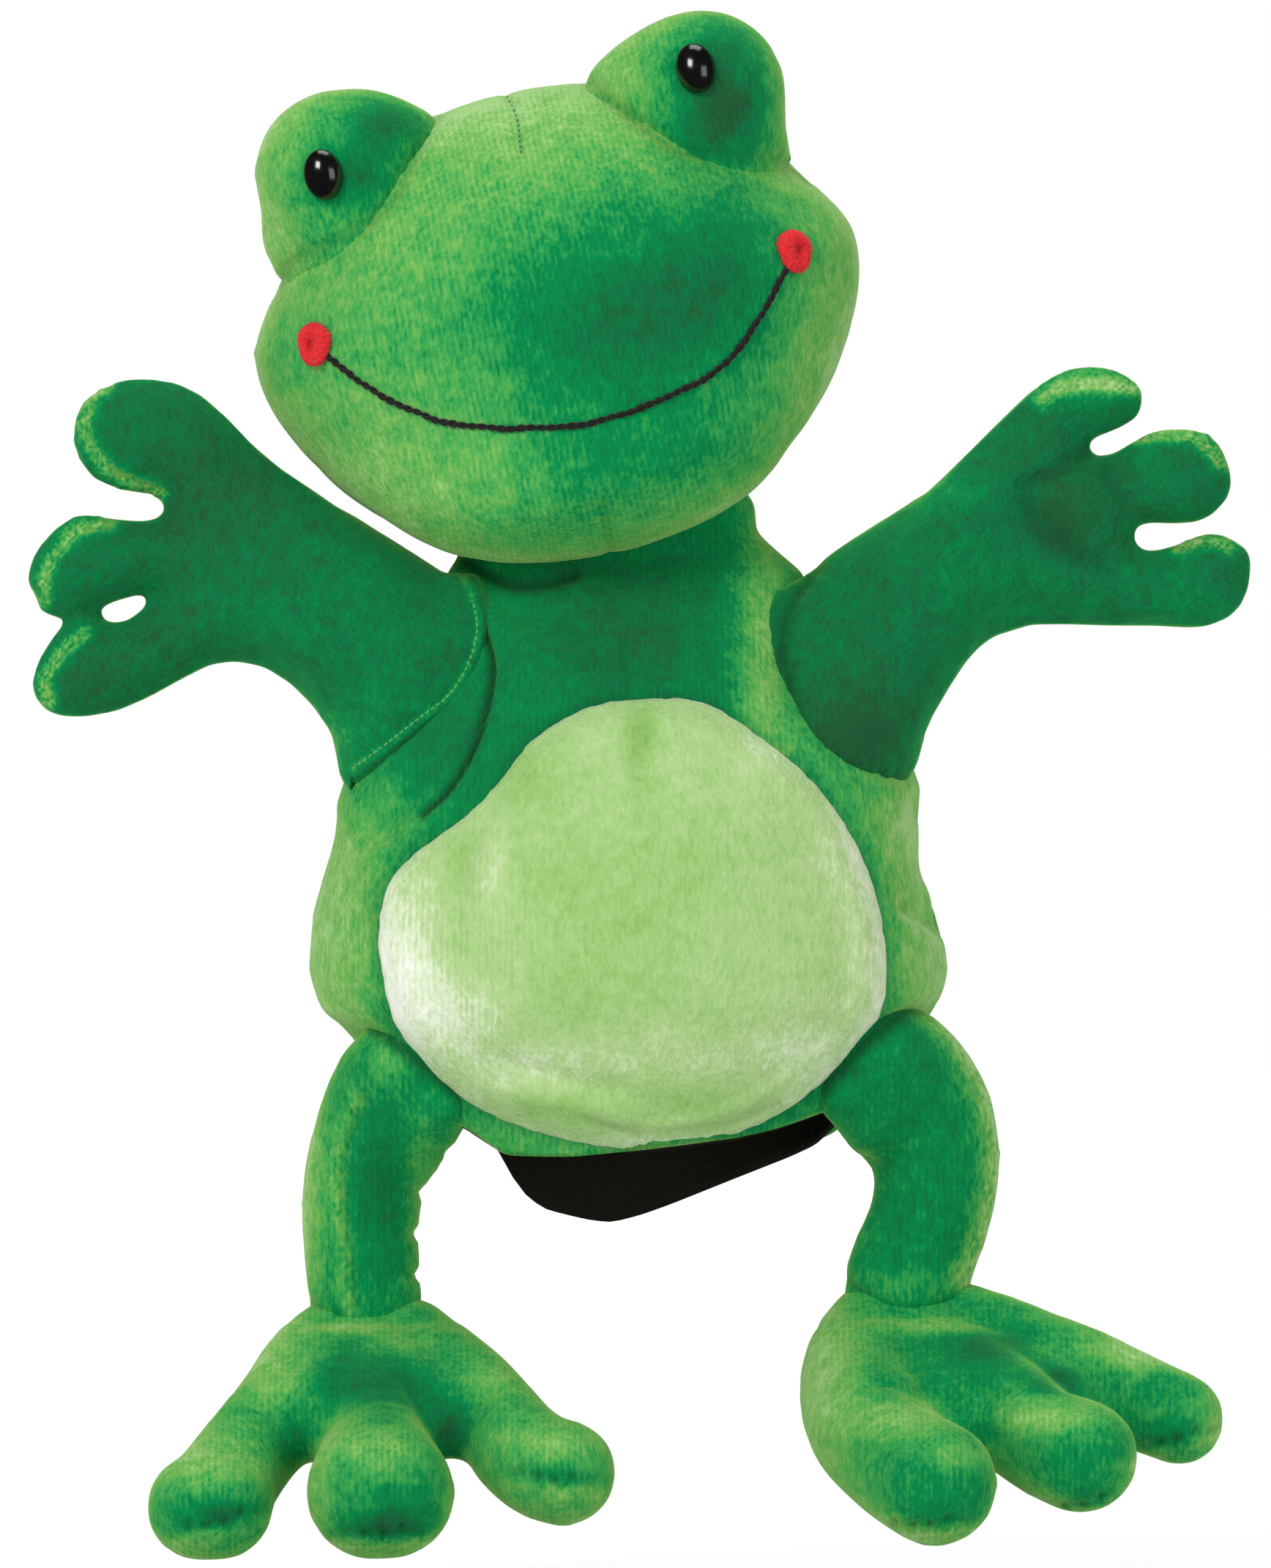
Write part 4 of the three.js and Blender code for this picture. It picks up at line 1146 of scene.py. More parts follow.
# Painted light on the left and along the lower band, painted shade in the folds and pucker, with the brushed
# nap.
BELLY_BRUSH = [
    (-48, 40, 9, 17, 0.5), (-37, 29, 11, 8, 0.3), (-16, 19, 12, 5, 0.22), (9, 22, 15, 5, 0.14),
    (34, 22, 12, 8, 0.2), (49, 38, 6, 14, 0.2), (45, 62, 8, 12, 0.18), (28, 82, 8, 8, 0.08),
    (12, 12, 13, 4, -0.16), (0, 54, 24, 15, -0.12), (-16, 10.6, 11, 3, -0.16), (-22, 78, 9, 9, -0.16),
    (2, 88, 3.4, 9, -0.24), (-34, 62, 4, 8, -0.2), (-29, 58, 4, 9, 0.2), (-3, 33, 18, 8, -0.1),
    (4, 3.6, 26, 1.6, 0.12),
]


class PUPPET_OT_belly(bpy.types.Operator):
    """Sews the pale patch on the belly"""

    bl_idname = "puppet.belly"
    bl_label = "Belly patch"

    def execute(self, context):
        body = bpy.data.objects["body"]
        patch, turn, share = wrapping("belly", around=200, tall=44)
        share = np.where(share < CENTRE_SHARE, 0.0, 1 - (1 - share) ** RIM_CROWDING)
        ray = np.column_stack([np.cos(turn), np.sin(turn)])
        reach = patch_inside(PATCH_MIDDLE + 0.001 * ray)
        for high, waves, phase in RAGGED_EDGE:
            reach += high * np.sin(waves * turn + phase)
        x, z = (PATCH_MIDDLE + ray * (reach * share)[:, None]).T
        inside = reach * (1 - share)
        lift = 0.1 + EDGE_HIGH * (1 - np.exp(-inside / EDGE_SOFT)) + patch_rise(inside)
        behind = np.array([ground(body, *spot)[0][1] for spot in zip(x, z)])
        set_points(patch, np.column_stack([x, behind - lift, z]))
        weld(patch)
        turned(patch, (0, -1, 0))
        apply(patch, "SMOOTH", factor=0.4, iterations=4)
        skin = Skin(patch, BELLY_NAP_AND_LIGHT)
        inside = patch_inside(skin.at[:, (0, 2)])
        # Painted shade along the edge of the patch, and a thin lighter band just inside it, painted light on
        # the raised edge.
        skin.crease = 0.16 * np.exp(-(inside / 0.6) ** 2)
        skin.nap += 0.06 * np.exp(-((inside - 1.2) / 1.2) ** 2)
        skin.ribbed = 0.15 + 1.1 * skin.spot(*BELLY_KNIT)
        skin.keep = np.clip((inside - 1) / 5, 0, 1)
        skin.sew(BELLY_SEWING)
        skin.brush(BELLY_BRUSH)
        skin.done()
        apply(patch, "SOLIDIFY", thickness=BELLY_THICK * MM, offset=-1.0)
        settle(patch, "belly_plush", ("belly_patch",), "torso")
        return {"FINISHED"}


# Arms

LEFT_ARM = [
    (36.5, 119.4), (41.3, 123.4), (48.5, 127.9), (56.9, 132.8), (63.3, 138.6), (69.8, 145), (75, 150.2),
    (81.4, 156.4), (86, 159.6), (89.8, 161.4), (95, 161.9), (99.5, 160.9), (103.4, 158.6), (104.6, 157),
    (104.5, 153.3), (103.2, 151.2), (99.8, 149.2), (95.5, 147.6), (92.2, 145.8), (95.4, 143.6),
    (98.6, 143.9), (101.8, 145.8), (104.9, 147.8), (108, 149), (113.8, 149.1), (117.7, 148.3), (120.2, 146),
    (122.2, 142.1), (123, 137.9), (121.9, 134.7), (118.9, 131.5), (115.7, 130), (110.5, 129.7), (106, 130),
    (103.4, 129.2), (102.3, 127.3), (103.4, 125), (105.7, 124), (109.2, 124.5), (113.1, 126.1),
    (116.4, 127.4), (119.6, 127.8), (122.8, 126.6), (126.1, 124.3), (126.9, 122.1), (126.4, 116.9),
    (124.8, 113), (122.2, 110.4), (117.7, 108.6), (113.8, 108.4), (107.3, 108.8), (98.3, 108.8),
    (89.2, 109.1), (82.1, 109), (77.6, 107.5), (74.3, 106.6), (71.1, 104.3), (68.5, 101.4), (65.3, 96.5),
    (61.7, 90.4), (58.5, 83), (54.5, 73.5), (44, 70.4), (32, 75.5), (24.5, 86), (22.5, 97), (24, 108),
    (29, 116),
]
RIGHT_ARM = [
    (-38.8, 119.5), (-45.6, 123.7), (-54.7, 129.2), (-63.9, 135.7), (-71.7, 140.9), (-77.5, 145.8),
    (-82.7, 151.3), (-87.9, 155.9), (-92.5, 158.2), (-98.3, 159.3), (-103.5, 159.1), (-108.7, 157.5),
    (-112, 154.9), (-113.7, 151.3), (-114.1, 146.8), (-113, 142.9), (-110, 139), (-104.8, 136.7),
    (-98.3, 135.7), (-96.1, 134.7), (-95.2, 132.5), (-96.7, 130.8), (-99.6, 130.1), (-104.8, 130.5),
    (-110.7, 131.5), (-113.9, 131.2), (-117.8, 128.6), (-120.8, 125.3), (-122.7, 122.1), (-123.5, 117.8),
    (-121.7, 114.6), (-121.1, 112), (-118.8, 110.9), (-115.6, 110.1), (-111.4, 111), (-108, 112.9),
    (-104.5, 114.2), (-97, 116.1), (-99.6, 112.4), (-102.6, 110.1), (-105, 109.3), (-107.6, 109.4),
    (-111.4, 110.6), (-115.6, 109.8), (-118.5, 106.1), (-121.1, 101.9), (-122.6, 97.4), (-122.1, 94.4),
    (-119.8, 91.5), (-116.5, 90.2), (-111.3, 90.2), (-104.8, 91.5), (-98.3, 94.4), (-91.8, 98),
    (-86, 100.9), (-80.8, 101.6), (-74.9, 100.3), (-69.7, 97), (-65.2, 92.5), (-61.3, 86.9), (-59.6, 79),
    (-56, 73.5), (-46, 72), (-35, 76.5), (-25.5, 86), (-20, 98), (-19.5, 109), (-25, 116.5), (-32, 120),
]
LEFT_ARMHOLE = [(38, 121), (31, 110), (31, 100), (35, 86), (44, 78.5), (58, 77)]
RIGHT_ARMHOLE = [
    (-35.6, 122), (-32.2, 113.4), (-31.4, 108), (-33, 101.4), (-37, 94.7), (-43, 90), (-49, 85.3),
    (-57, 79.4),
]
# Base pile value: nap together with painted light and shade.
ARM_NAP_AND_LIGHT = 0.12
ARM_LEVEL = -4.5
ROOT_FORWARD = 6
HAND_FROM = 84
SLEEVE_SPAN = 26
HAND_DEEP = 9.5
SLEEVE_DEEPER = 7.5
HAND_ROUND = 12.5
SLEEVE_ROUNDER = 5
TUCK_DEEP = 8
TUCK_EDGE = 0.8
TUCK_SPAN = 6
EDGE_SEWN_FROM = 60
ARM_SEWING = {
    "left": [
        ("seam", LEFT_ARMHOLE, 0.8, 1.6, 0.3, 3.1, 0.5),
        ("groove", [(94, 144), (88, 141), (80, 137.5)], 1.1, 1.8, 0.34),
        ("groove", [(81, 134.5), (83, 130), (86, 126.5), (90, 123.8), (96, 121.6)], 1.4, 2.7, 0.36),
        ("groove", [(96.9, 141), (98, 138), (100, 135)], 0.8, 1.6, 0.3),
        ("fold", [(90, 137), (92, 131), (94, 127)], 0.9, 4.0),
        ("fold", [(76, 108), (82, 118), (80, 126)], -0.9, 4.0),
    ],
    "right": [
        ("seam", RIGHT_ARMHOLE, 0.5, 0.9, 0.15, 2.6, 0.0),
        ("fuzz", RIGHT_ARMHOLE, 0.9, 0.26),
        ("fold", [(-88, 134), (-91, 127), (-92, 119), (-92, 112)], -1.0, 4.0),
        ("fold", [(-38, 112), (-46, 96), (-54, 84)], 0.8, 4.0),
    ],
}
FINGER_TIPS = {
    "left": [
        [(84, 155), (88, 157.5), (95, 158.4), (103, 157.4)],
        [(104, 147.5), (110, 148), (116, 147), (120.5, 142)],
        [(112, 125), (118, 126.3), (122, 125)],
    ],
    "right": [
        [(-107, 158), (-110, 156), (-111.8, 152), (-111.3, 146.8), (-107, 141), (-101.6, 138), (-96, 136)],
        [(-106.8, 129.5), (-113.3, 128.2), (-116.5, 124.7), (-119.8, 119.5), (-120, 114.3)],
        [(-112, 107.1), (-117.2, 102.5), (-119.8, 97.3), (-119, 93.4)],
    ],
}
# Painted shade at the root of the sleeve and in the palm, painted light along the tops of the fingers, with
# the brushed nap.
ARM_BRUSH = {
    "left": [
        (44, 86, 11, 10, -0.16), (94, 158, 10, 4, 0.3), (112, 118, 10, 7, 0.04), (88, 132, 6, 8, -0.12),
        (62, 136, 12, 4, 0.12), (72, 118, 14, 9, 0.08), (118, 112, 8, 4, 0.1),
    ],
    "right": [
        (-84, 136, 18, 14, -0.08), (-60, 108, 14, 12, 0.05), (-60, 86, 8, 8, 0.14), (-76, 110, 10, 6, 0.08),
        (-46, 92, 8, 6, 0.1), (-110, 100, 10, 8, -0.06),
    ],
}


def arm_shape(x, z):
    """Middle depth, half thickness and rounding of an arm: a round sleeve, then a flat hand."""
    sleeve = ease((HAND_FROM - np.abs(x)) / SLEEVE_SPAN)
    root = (x > 0) * np.exp(-((x - 42) / 13) ** 2 - ((z - 87) / 12) ** 2)
    deep, rounding = HAND_DEEP + SLEEVE_DEEPER * sleeve, HAND_ROUND + SLEEVE_ROUNDER * sleeve
    return ARM_LEVEL - ROOT_FORWARD * root, deep, rounding


def tuck_in(arm, armhole):
    """Lets the end of a sleeve dip back into its armhole."""
    where = points(arm)
    gap, _ = near(armhole, where[:, (0, 2)])
    line_x, line_z = zip(*reversed(armhole))
    past = where[:, 0] > np.interp(where[:, 2], line_z, line_x)
    where[:, 1] += TUCK_DEEP * ease((gap - TUCK_EDGE) / TUCK_SPAN * past)
    set_points(arm, where)


class PUPPET_OT_arms(bpy.types.Operator):
    """Sews and stuffs the two arms and hands"""

    bl_idname = "puppet.arms"
    bl_label = "Arms"

    def execute(self, context):
        for name, sign, outline in (("left", 1, LEFT_ARM), ("right", -1, RIGHT_ARM)):
            arm = pillow(f"{name}_arm_pad", outline, arm_shape, voxel=1.3, relax=4)
            sewn = (np.abs(points(arm)[:, 0]) > EDGE_SEWN_FROM) & (np.abs(normals(arm)[:, 1]) < 0.25)
            puff(arm, cap=0.9, sewn=sewn, spare=0.02)
            refine(arm, 1)
            if name == "right":
                tuck_in(arm, RIGHT_ARMHOLE)
            skin = Skin(arm, ARM_NAP_AND_LIGHT)
            skin.sew(ARM_SEWING[name])
            # Along each fingertip a lighter speckled band: fuzz at the seam, with painted light on the rim.
            for line in FINGER_TIPS[name]:
                skin.sew([("seam", line, 0.5, 1.0, 0.3, 2.3, 0.1), ("fuzz", line, 1.7, 0.62)])
            skin.brush(ARM_BRUSH[name])
            skin.done((0.6, 0, -0.8 * sign))
            settle(arm, "green_plush", (f"{name}_arm_skin", f"{name}_hand_stuffing"))
            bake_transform(arm)
        row = stitches("armhole_stitches", arm, RIGHT_ARMHOLE[1:], pitch=1.3, thick=0.2)
        settle(row, "thread_pale", ())
        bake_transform(row)
        return {"FINISHED"}


# Legs and feet

RIGHT_LEG = [
    [
        (-46.5, -14, 18.5, 11), (-50, -8, 12, 12.4), (-54.2, -3, -1, 12.3), (-55.9, -2, -13, 11.6),
        (-55.4, -2, -24, 11.2), (-54.6, -2, -33, 11.2),
    ],
    [(-38.6, -18, 11.6, 7), (-43.4, -12, 6.8, 8.4), (-47.2, -6, 0.2, 7.8)],
]
LEFT_LEG = [
    [
        (50.5, -14, 20.5, 11.6), (55.5, -8, 17, 13), (61, -3, 8, 13.2), (62.6, -2, -3, 12.8),
        (60.8, -2, -14, 12.2), (57, -2, -23, 12.6), (56.3, -2, -31.5, 12.8),
    ],
    [(43.8, -17, 14.4, 7.2), (49.6, -11, 8.8, 8.4), (53, -5, 2.6, 7.2)],
]
RIGHT_FOOT = [
    [(-54.3, -1.5, -35, 10.8), (-54.3, -3, -42, 12.4)],
    [(-61.6, -4, -40, 10.6), (-67, -12, -45.6, 10.6), (-72.4, -21, -52.2, 10.3), (-79.2, -33, -60.2, 10.2),
     (-86.2, -44, -69.4, 11), (-88, -45, -70, 11)],
    [(-80.6, -36, -62.8, 9), (-84.4, -46, -69.8, 11)],
    [(-45.8, -4, -39.2, 10.8), (-39.6, -12, -43.8, 10.6), (-33, -21, -48, 10.2), (-27.4, -29, -52.8, 10.1),
     (-22.4, -37, -58, 10.4), (-17.4, -42, -61.6, 10.8), (-13.4, -44, -62.8, 10.9)],
    [(-54.2, -6, -42, 11.8), (-53, -24, -52, 11.4), (-51.8, -38, -60.4, 12.2), (-53, -49, -66.8, 13.7)],
    [(-51.4, -40, -61, 12), (-49.6, -49, -67, 13.4)],
    [(-57, -10, -44, 11), (-62, -23, -50.6, 10.2), (-66, -31, -53.4, 7.4)],
    [(-51, -10, -44, 11), (-44, -23, -50, 10.2), (-38, -30, -53, 7.6), (-35, -31, -53.4, 7)],
]
LEFT_FOOT = [
    [
        (56.5, -2, -33, 11.8), (52, -3, -37, 12.8), (48.3, -9, -42.4, 13), (46.9, -18, -48.4, 13),
        (48.4, -30, -54.4, 13), (53.6, -43, -60.4, 12.6), (58, -50.5, -63.4, 12.8),
        (60.8, -54.5, -65, 12.9),
    ],
    [
        (58, -5, -38, 11.6), (66, -15, -45, 11.4), (76, -27, -52, 11.2), (84, -36, -56.6, 11.6),
        (91, -42.5, -59.4, 11.9),
    ],
    [
        (63, -2, -34.6, 10.4), (77, -6, -38.4, 9.9), (90, -9.5, -44, 9.9), (100, -13, -48.8, 9.8),
        (111, -15.6, -53.3, 9.5),
    ],
    [(56, -10, -43, 11), (62, -24, -50.4, 10), (67, -33, -54.4, 7)],
    [(66, -7, -41, 10), (80, -17, -47.4, 9), (89, -22, -51, 7)],
]
# The last value of a leg is its base pile value: nap together with painted light and shade.
LEGS = {
    "left": (LEFT_LEG, (54, -2, 14), -31, 0.25),
    "right": (RIGHT_LEG, (-51.5, -2, 11), -32, 0.3),
}
LEG_SEWING = {
    "left": [
        ("fold", [(44, -1), (49.5, -1.6)], -2.0, 1.4),
        ("fold", [(44, 3), (51, 3.5)], 0.8, 2.0),
        # A line of painted shade where the top of the leg meets the body, not sunk.
        ("groove", [(58.5, 31.4), (52, 27), (46, 21.6), (39, 14)], 0.0, 1.8, 0.6),
        ("seam", [(44, -25), (50, -29.6), (58, -31.4), (66, -29.6), (70, -27.6)], 0.6, 0.9, 0.2, 2.7, 0.4),
        # A lighter speckled band down the outer edge of the leg: fuzz, with painted light on the rim.
        ("fuzz", [(63, 30), (69.6, 20), (73.6, 8), (74.6, -4), (72.4, -15), (68.6, -24)], 3.6, 0.55),
    ],
    "right": [
        ("seam", [(-55, 12), (-58.6, 2), (-59, -8), (-57.6, -20), (-56.6, -31)], 0.9, 1.0, 0.5, 2.6, 0.22),
        ("fuzz", [(-56, 12), (-59.6, 2), (-60, -8), (-58.6, -20), (-57.6, -31)], 1.8, 0.32),
        # A line of painted shade where the top of the leg meets the body, not sunk.
        ("groove", [(-56, 29), (-48, 23.6), (-40.5, 17.6), (-32.5, 10.4)], 0.0, 1.6, 0.7),
        ("seam", [(-66, -29.6), (-60, -33), (-54, -34.4), (-48, -33), (-42, -29.6)], 0.6, 0.9, 0.2, 2.7, 0.3),
    ],
}
# Painted light along the edges of the legs and painted shade down the middle, with the brushed nap.
LEG_BRUSH = {
    "left": [(55, -26, 9, 3.5, 0.2)],
    "right": [(-67, -8, 5, 24, 0.4), (-43, -12, 3, 18, 0.22), (-50, 20, 4, 5, 0.24), (-51, -8, 5, 14, -0.16)],
}
FEET = {
    "left": (LEFT_FOOT, (56.7, -2, -30), [(60, -73, 0.12), (91, -69.6, 0.2), (111, -57, 0.3)]),
    "right": (RIGHT_FOOT, (-54.3, -2, -31.5), [(-50.6, -75, 0.04), (-83, -72.6, 0.28), (-16, -64, -0.1)]),
}
# Base pile value: nap together with painted light and shade.
FOOT_NAP_AND_LIGHT = 0.37
# Painted shade in the webs between the toes and painted light along the tops and rims of the toes, with the
# brushed nap.
FOOT_BRUSH = {
    "left": [
        (39.5, -45, 7, 17, 0.34), (62, -42, 12, 9, -0.12), (75, -38, 8, 4, -0.3), (52, -52, 10, 3.5, 0.28),
        (66, -58.5, 7, 3, 0.24), (62, -66, 9, 6, -0.06), (52, -75, 11, 4, 0.34), (83, -52, 11, 4, 0.4),
        (93, -61, 8, 6, -0.08), (86, -69, 8, 3, 0.24), (102, -40, 13, 3.5, 0.36), (106, -48, 9, 6, -0.06),
        (87, -45, 6, 4, -0.34), (71, -55, 5, 4, -0.24), (119, -54, 4, 5, 0.24), (60, -34, 10, 1.6, 0.34),
    ],
    "right": [
        (-86, -61, 13, 6, 0.32), (-80, -70, 7, 5, -0.06), (-52, -58, 12, 5, 0.3), (-63, -66, 3, 7, 0.2),
        (-18, -58, 13, 6, 0.32), (-18, -71, 12, 4, 0.2), (-55, -47, 16, 7, -0.16), (-47, -37, 7, 3, 0.18),
        (-72, -42, 8, 9, 0.34), (-37, -56, 5, 5, -0.36), (-69, -57.5, 5, 5, -0.3), (-30, -45, 8, 5, 0.2),
        (-58, -34.6, 8, 1.4, 0.24), (-88, -79, 9, 3, 0.2), (-52, -79, 11, 3, 0.16),
        (-54, -42, 14, 6, -0.14), (-40, -49, 9, 6, -0.14), (-47, -72, 7, 5, -0.14),
    ],
}


class PUPPET_OT_legs(bpy.types.Operator):
    """Sews and stuffs the two legs"""

    bl_idname = "puppet.legs"
    bl_label = "Legs"

    def execute(self, context):
        for name, (limbs, hip, ankle, nap) in LEGS.items():
            leg = pad_of(f"{name}_leg_pad", limbs, voxel=2.0, relax=6)
            puff(leg, cap=0.8, sewn=points(leg)[:, 2] < ankle + 1)
            refine(leg, 1)
            skin = Skin(leg, nap)
            skin.sew(LEG_SEWING[name])
            if name == "right":
                inner = np.clip(skin.out[:, 0], 0, 1) * np.clip((6 - skin.at[:, 2]) / 6, 0, 1)
                gathers = np.maximum(0, np.sin(skin.at[:, 2] * 0.74 + 0.6)) ** 2
                skin.at[:, 0] += inner * (0.9 - 1.1 * gathers)
            skin.brush(LEG_BRUSH[name])
            skin.done()
            settle(leg, "green_plush", (f"{name}_leg_skin", f"{name}_leg_stuffing"))
            hip[0] * MM
            hip[1] * MM
            (hip[2] + 6) * MM
            hip[0] * MM
            hip[1] * MM
            (hip[2] - 12) * MM
            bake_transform(leg)
        return {"FINISHED"}


class PUPPET_OT_feet(bpy.types.Operator):
    """Sews and stuffs the two feet"""

    bl_idname = "puppet.feet"
    bl_label = "Feet"

    def execute(self, context):
        for name, (limbs, ankle, toes) in FEET.items():
            foot = pad_of(f"{name}_foot_pad", limbs, voxel=2.0, relax=5)
            puff(foot, cap=1.0, sewn=points(foot)[:, 2] > ankle[2] - 3)
            refine(foot, 1)
            skin = Skin(foot, FOOT_NAP_AND_LIGHT)
            for toe in toes:
                self.close_toe(skin, *toe)
            skin.brush(FOOT_BRUSH[name])
            skin.done()
            settle(foot, "green_plush", (f"{name}_foot_skin", f"{name}_foot_stuffing"))
            tuple(v * MM for v in ankle)
            ankle[0] * MM
            (ankle[1] - 4) * MM
            (ankle[2] - 12) * MM
            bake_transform(foot)
        return {"FINISHED"}

    def close_toe(self, skin, x, z, slope):
        """Sews a short broken seam across the end of a toe, paints shade on the toe's end and brushes fuzz up
        below the seam.
        """
        reach = 9
        across, up = skin.at[:, 0] - x, skin.at[:, 2] - z
        tip = np.exp(-np.hypot(across / reach, up / reach) ** 4) * (skin.out[:, 1] < -0.2)
        wave = 0.5 * np.sin(1.1 * across) + 0.35 * np.sin(2.3 * across + 1)
        broken = 0.55 + 0.45 * np.sin(1.7 * across + 0.6)
        gap = np.abs(up - slope * across + wave)
        skin.sink(gap, across, depth=0.8, width=1.0, pucker=0.5, pitch=1.9, shade=0.5, keep=tip * broken)
        skin.stroke(x, z + 0.6, 8.0, 3.6, -0.2)
        low = z - 2.4
        skin.fuzz([(x - reach, low - reach * slope), (x + reach, low + reach * slope)], 1.6, 0.26)


# Lining pockets inside the head and arms

POCKETS = {
    "finger_pocket": ("head_finger_tube", "head", (-10.9, 2, 156), (-0.208, 0, 0.978)),
    "left_arm_pocket": ("left_arm_lining", "left_arm", (43, -4, 96), (29, 0, 25)),
    "right_arm_pocket": ("right_arm_lining", "right_arm", (-43, -4, 95), (-29, 0, 22)),
}
POCKET_RADIUS = 12.8
POCKET_TALL = 36
POCKET_STRAIGHT = 0.8


class PUPPET_OT_pockets(bpy.types.Operator):
    """Sews the lining pockets that take the fingers"""

    bl_idname = "puppet.pockets"
    bl_label = "Finger pockets"

    def execute(self, context):
        radius, tall = POCKET_RADIUS, POCKET_TALL
        for name, (node, body, foot, axis) in POCKETS.items():
            pocket, turn, share = wrapping(name, around=48, tall=30)
            rise = tall * np.minimum(share / POCKET_STRAIGHT, 1)
            close = np.clip((share - POCKET_STRAIGHT) / (1 - POCKET_STRAIGHT), 0, 1)
            wide = radius * np.sqrt(np.clip(1 - close ** 2, 0, 1)) * (1 - 0.2 * rise / tall)
            wide *= 1 + 0.025 * np.sin(5 * turn + rise / 4)
            way = unit(np.asarray(axis))
            beside = np.cross(way, (0, 1, 0))
            around = np.outer(np.cos(turn), beside) + np.outer(np.sin(turn), (0, 1, 0))
            set_points(pocket, np.outer(rise + 3 * close, way) + wide[:, None] * around + foot)
            weld(pocket)
            outward(pocket)
            pocket.data.shade_smooth()
            apply(pocket, "SOLIDIFY", thickness=context.scene.puppet_sizes.lining, offset=-1.0)
            settle(pocket, "lining_black", (node,), "head" if body == "head" else None)
            if body != "head":
                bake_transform(pocket)
        dress(bpy.data.objects["neck_seam"], "thread_black")
        return {"FINISHED"}


# Stage

LAMPS = (
    ("key", (-1.1, -1.7, 1.35), 0.85, 29),
    ("fill", (1.5, -1.6, 0.5), 1.2, 10),
    ("top", (0.1, 0.5, 1.9), 1.2, 12),
)
LAMP_AIM = Vector((0, 0, 0.08))
CAMERA_AWAY = 4.5
CAMERA_ACROSS = 0.0009
CAMERA_HIGH = 0.0764
PICTURE_TALL = 0.3213
SENSOR = 24
FLOOR_WIDE = 14
FLOOR_WHITE = 1.06
FLOOR_GLOSS = 0.06
FADE_NEAR = 0.2
FADE_FAR = 0.6
FADE_SHARE = 0.82
SKY_LIGHT = 0.4
SKY_GLOSS = 0.05
SKY_WHITE = 1.0


def lay_floor(tone, drop):
    """A pale floor that fades to white around the puppet and stays dark in the gloss of the eyes."""
    deselect()
    bpy.ops.mesh.primitive_plane_add(size=FLOOR_WIDE, location=(0, 0, -drop))
    floor = named("floor")
    finish = new_finish("studio_floor")
    grain = finish.noise(finish.place(), scale=30.0)
    paint = finish.ramp(grain, (0.3, tone), (0.7, toned(tone, 0.98)))
    matt = finish.node("ShaderNodeBsdfDiffuse", None, {"Color": paint})
    away = finish.node("ShaderNodeVectorMath", {"operation": "LENGTH"}, {0: finish.place()}, 1)
    far = finish.node("ShaderNodeMapRange", {"interpolation_type": "SMOOTHSTEP"},
                      {"Value": away, 1: FADE_NEAR, 2: FADE_FAR, 3: FADE_SHARE, 4: 1.0})
    under = finish.mix(finish.ray("Is Glossy Ray"), matt, finish.light("Emission", FLOOR_GLOSS))
    white = finish.light("Emission", FLOOR_WHITE)
    finish.done(finish.mix(finish.ray("Is Camera Ray") * far, under, white))
    dress(floor, "studio_floor")


def light_studio(context):
    """A white surround that lights softly, and the lamps."""
    context.scene.world = bpy.data.worlds.new("studio")
    sky = Finish(context.scene.world)
    dim, dark, full = (sky.light("Background", strength) for strength in (SKY_LIGHT, SKY_GLOSS, SKY_WHITE))
    lit = sky.mix(sky.ray("Is Glossy Ray"), dim, dark)
    sky.done(sky.mix(sky.ray("Is Camera Ray"), lit, full))
    for name, place, size, power in LAMPS:
        bpy.ops.object.light_add(type="AREA", location=place)
        lamp = context.object
        lamp.name = f"{name}_lamp"
        lamp.data.size = size
        lamp.data.energy = power
        lamp.rotation_euler = (LAMP_AIM - Vector(place)).to_track_quat("-Z", "Y").to_euler()


class PUPPET_OT_stage(bpy.types.Operator):
    """Sets the floor, the light and the camera"""

    bl_idname = "puppet.stage"
    bl_label = "Stage"

    def execute(self, context):
        scene = context.scene
        lay_floor(scene.puppet_colours.floor, scene.puppet_sizes.floor_drop)
        light_studio(context)
        bpy.ops.object.camera_add(
            location=(CAMERA_ACROSS, -CAMERA_AWAY, CAMERA_HIGH), rotation=(math.pi / 2, 0, 0))
        scene.camera = context.object
        optics = scene.camera.data
        optics.sensor_fit = "VERTICAL"
        optics.sensor_height = SENSOR
        optics.lens = SENSOR * CAMERA_AWAY / PICTURE_TALL
        optics.clip_end = 50
        scene.view_settings.view_transform = "Standard"
        return {"FINISHED"}


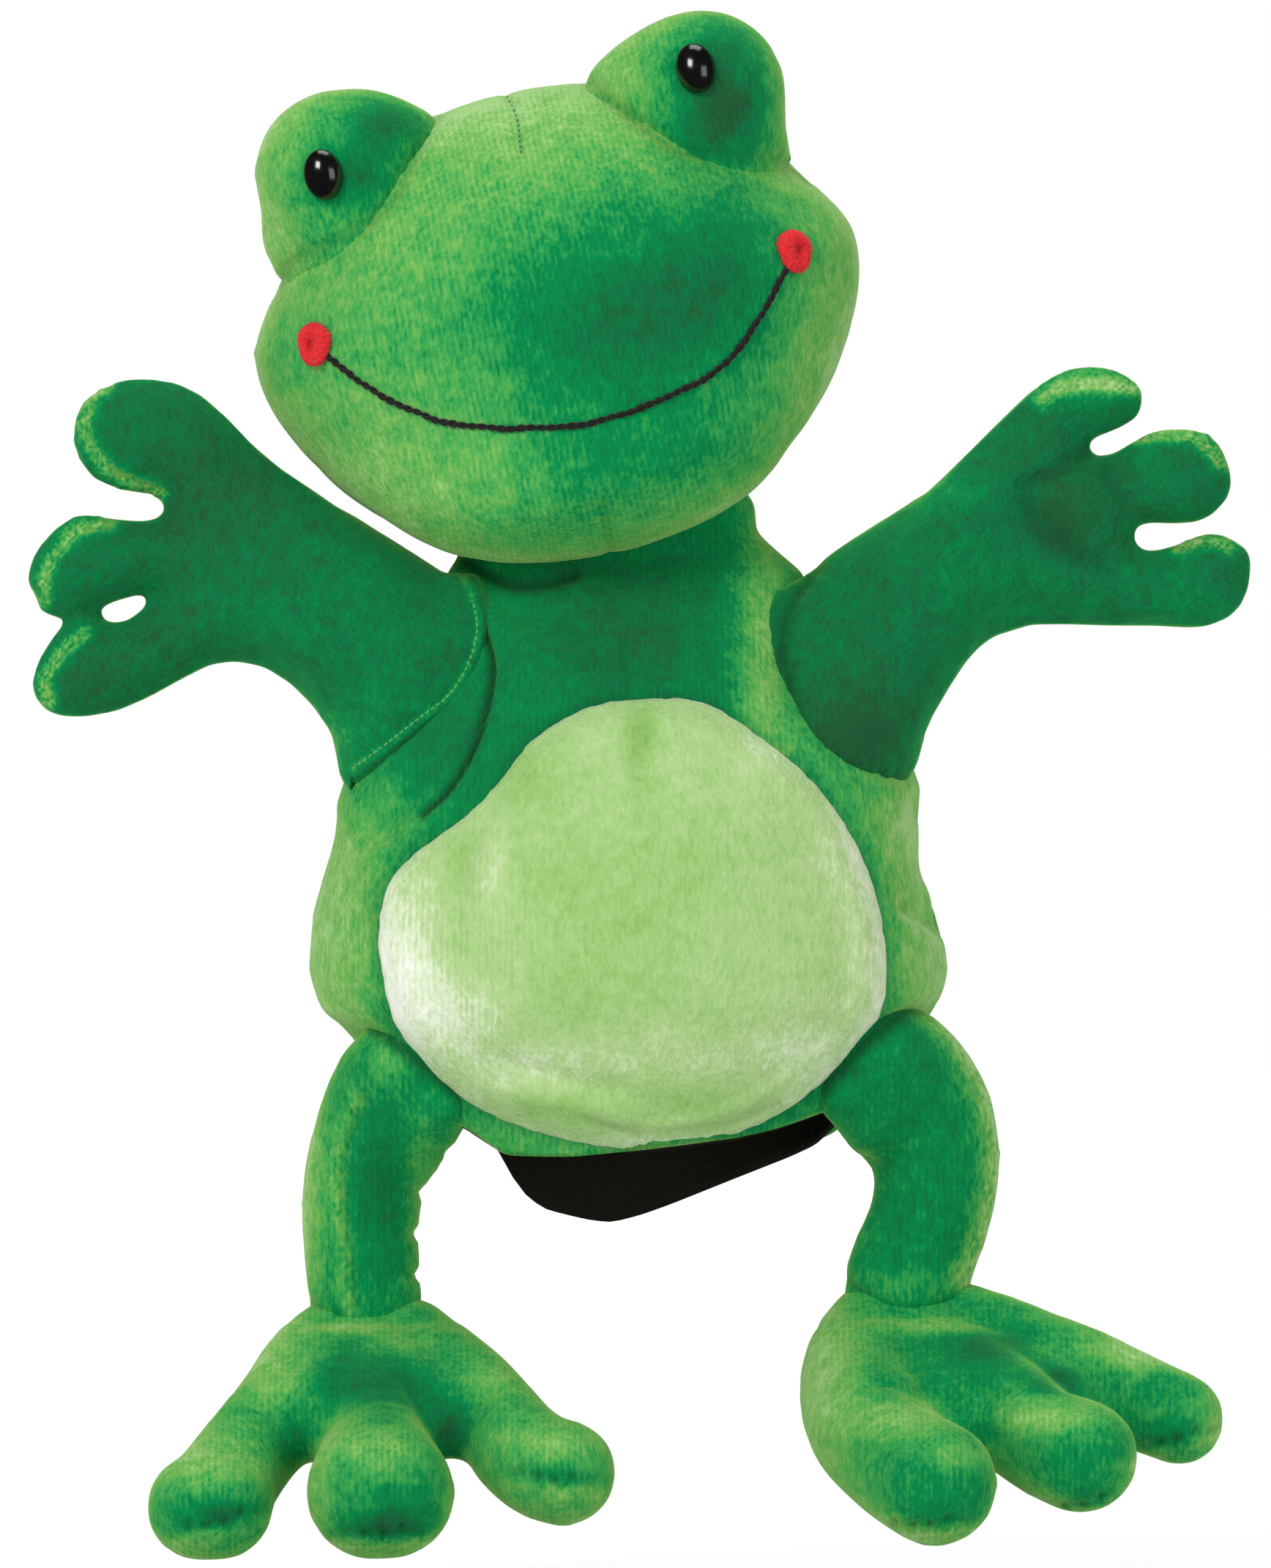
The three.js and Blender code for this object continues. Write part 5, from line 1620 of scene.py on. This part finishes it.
class PUPPET_OT_finishes(bpy.types.Operator):
    """Mixes the cloth, thread and plastic finishes"""

    bl_idname = "puppet.finishes"
    bl_label = "Finishes"

    def execute(self, context):
        tones = context.scene.puppet_colours
        pitch = context.scene.puppet_sizes.rib_pitch
        steps = ("shade", "deep", "mid", "soft", "light", "pale")
        green = [getattr(tones, f"plush_{step}") for step in steps]
        pale = [getattr(tones, f"belly_{step}") for step in steps]
        plush_finish("green_plush", green, linear(170, 225, 120), pitch)
        plush_finish("belly_plush", pale, linear(235, 245, 215), pitch)
        woven_finish("lining_black", tones.lining)
        thread_finish("thread_black", tones.mouth, scale=2600.0)
        thread_finish("thread_red", tones.knot, scale=1500.0)
        thread_finish("thread_green", linear(24, 128, 68), scale=2600.0)
        thread_finish("thread_pale", linear(112, 184, 104), scale=2600.0)
        plastic_finish("eye_plastic", tones.eye, roughness=0.13)
        plastic_finish("washer_plastic", tones.washer, roughness=0.45)
        return {"FINISHED"}


OPERATORS = (
    PUPPET_OT_finishes, PUPPET_OT_head, PUPPET_OT_eye_domes, PUPPET_OT_eyes, PUPPET_OT_mouth,
    PUPPET_OT_cheek_knots, PUPPET_OT_body, PUPPET_OT_lining, PUPPET_OT_belly, PUPPET_OT_arms,
    PUPPET_OT_legs, PUPPET_OT_feet, PUPPET_OT_pockets, PUPPET_OT_stage,
)


class PUPPET_PT_build(bpy.types.Panel):
    """Lists the steps that build the puppet"""

    bl_idname = "PUPPET_PT_build"
    bl_label = "Frog hand puppet"
    bl_space_type = "VIEW_3D"
    bl_region_type = "UI"
    bl_category = "Puppet"

    def draw(self, context):
        for group in (context.scene.puppet_sizes, context.scene.puppet_colours):
            for key in group.bl_rna.properties.keys():
                if key not in ("rna_type", "name"):
                    self.layout.prop(group, key)
        for step in OPERATORS:
            self.layout.operator(step.bl_idname)


CLASSES = (PuppetSizes, PuppetColours, *OPERATORS, PUPPET_PT_build)


def register():
    for made in CLASSES:
        bpy.utils.register_class(made)
    bpy.types.Scene.puppet_sizes = bpy.props.PointerProperty(type=PuppetSizes)
    bpy.types.Scene.puppet_colours = bpy.props.PointerProperty(type=PuppetColours)


def unregister():
    del bpy.types.Scene.puppet_colours
    del bpy.types.Scene.puppet_sizes
    for made in reversed(CLASSES):
        bpy.utils.unregister_class(made)


def main():
    register()
    for step in OPERATORS:
        group, name = step.bl_idname.split(".")
        getattr(getattr(bpy.ops, group), name)()


if __name__ == "__main__":
    main()
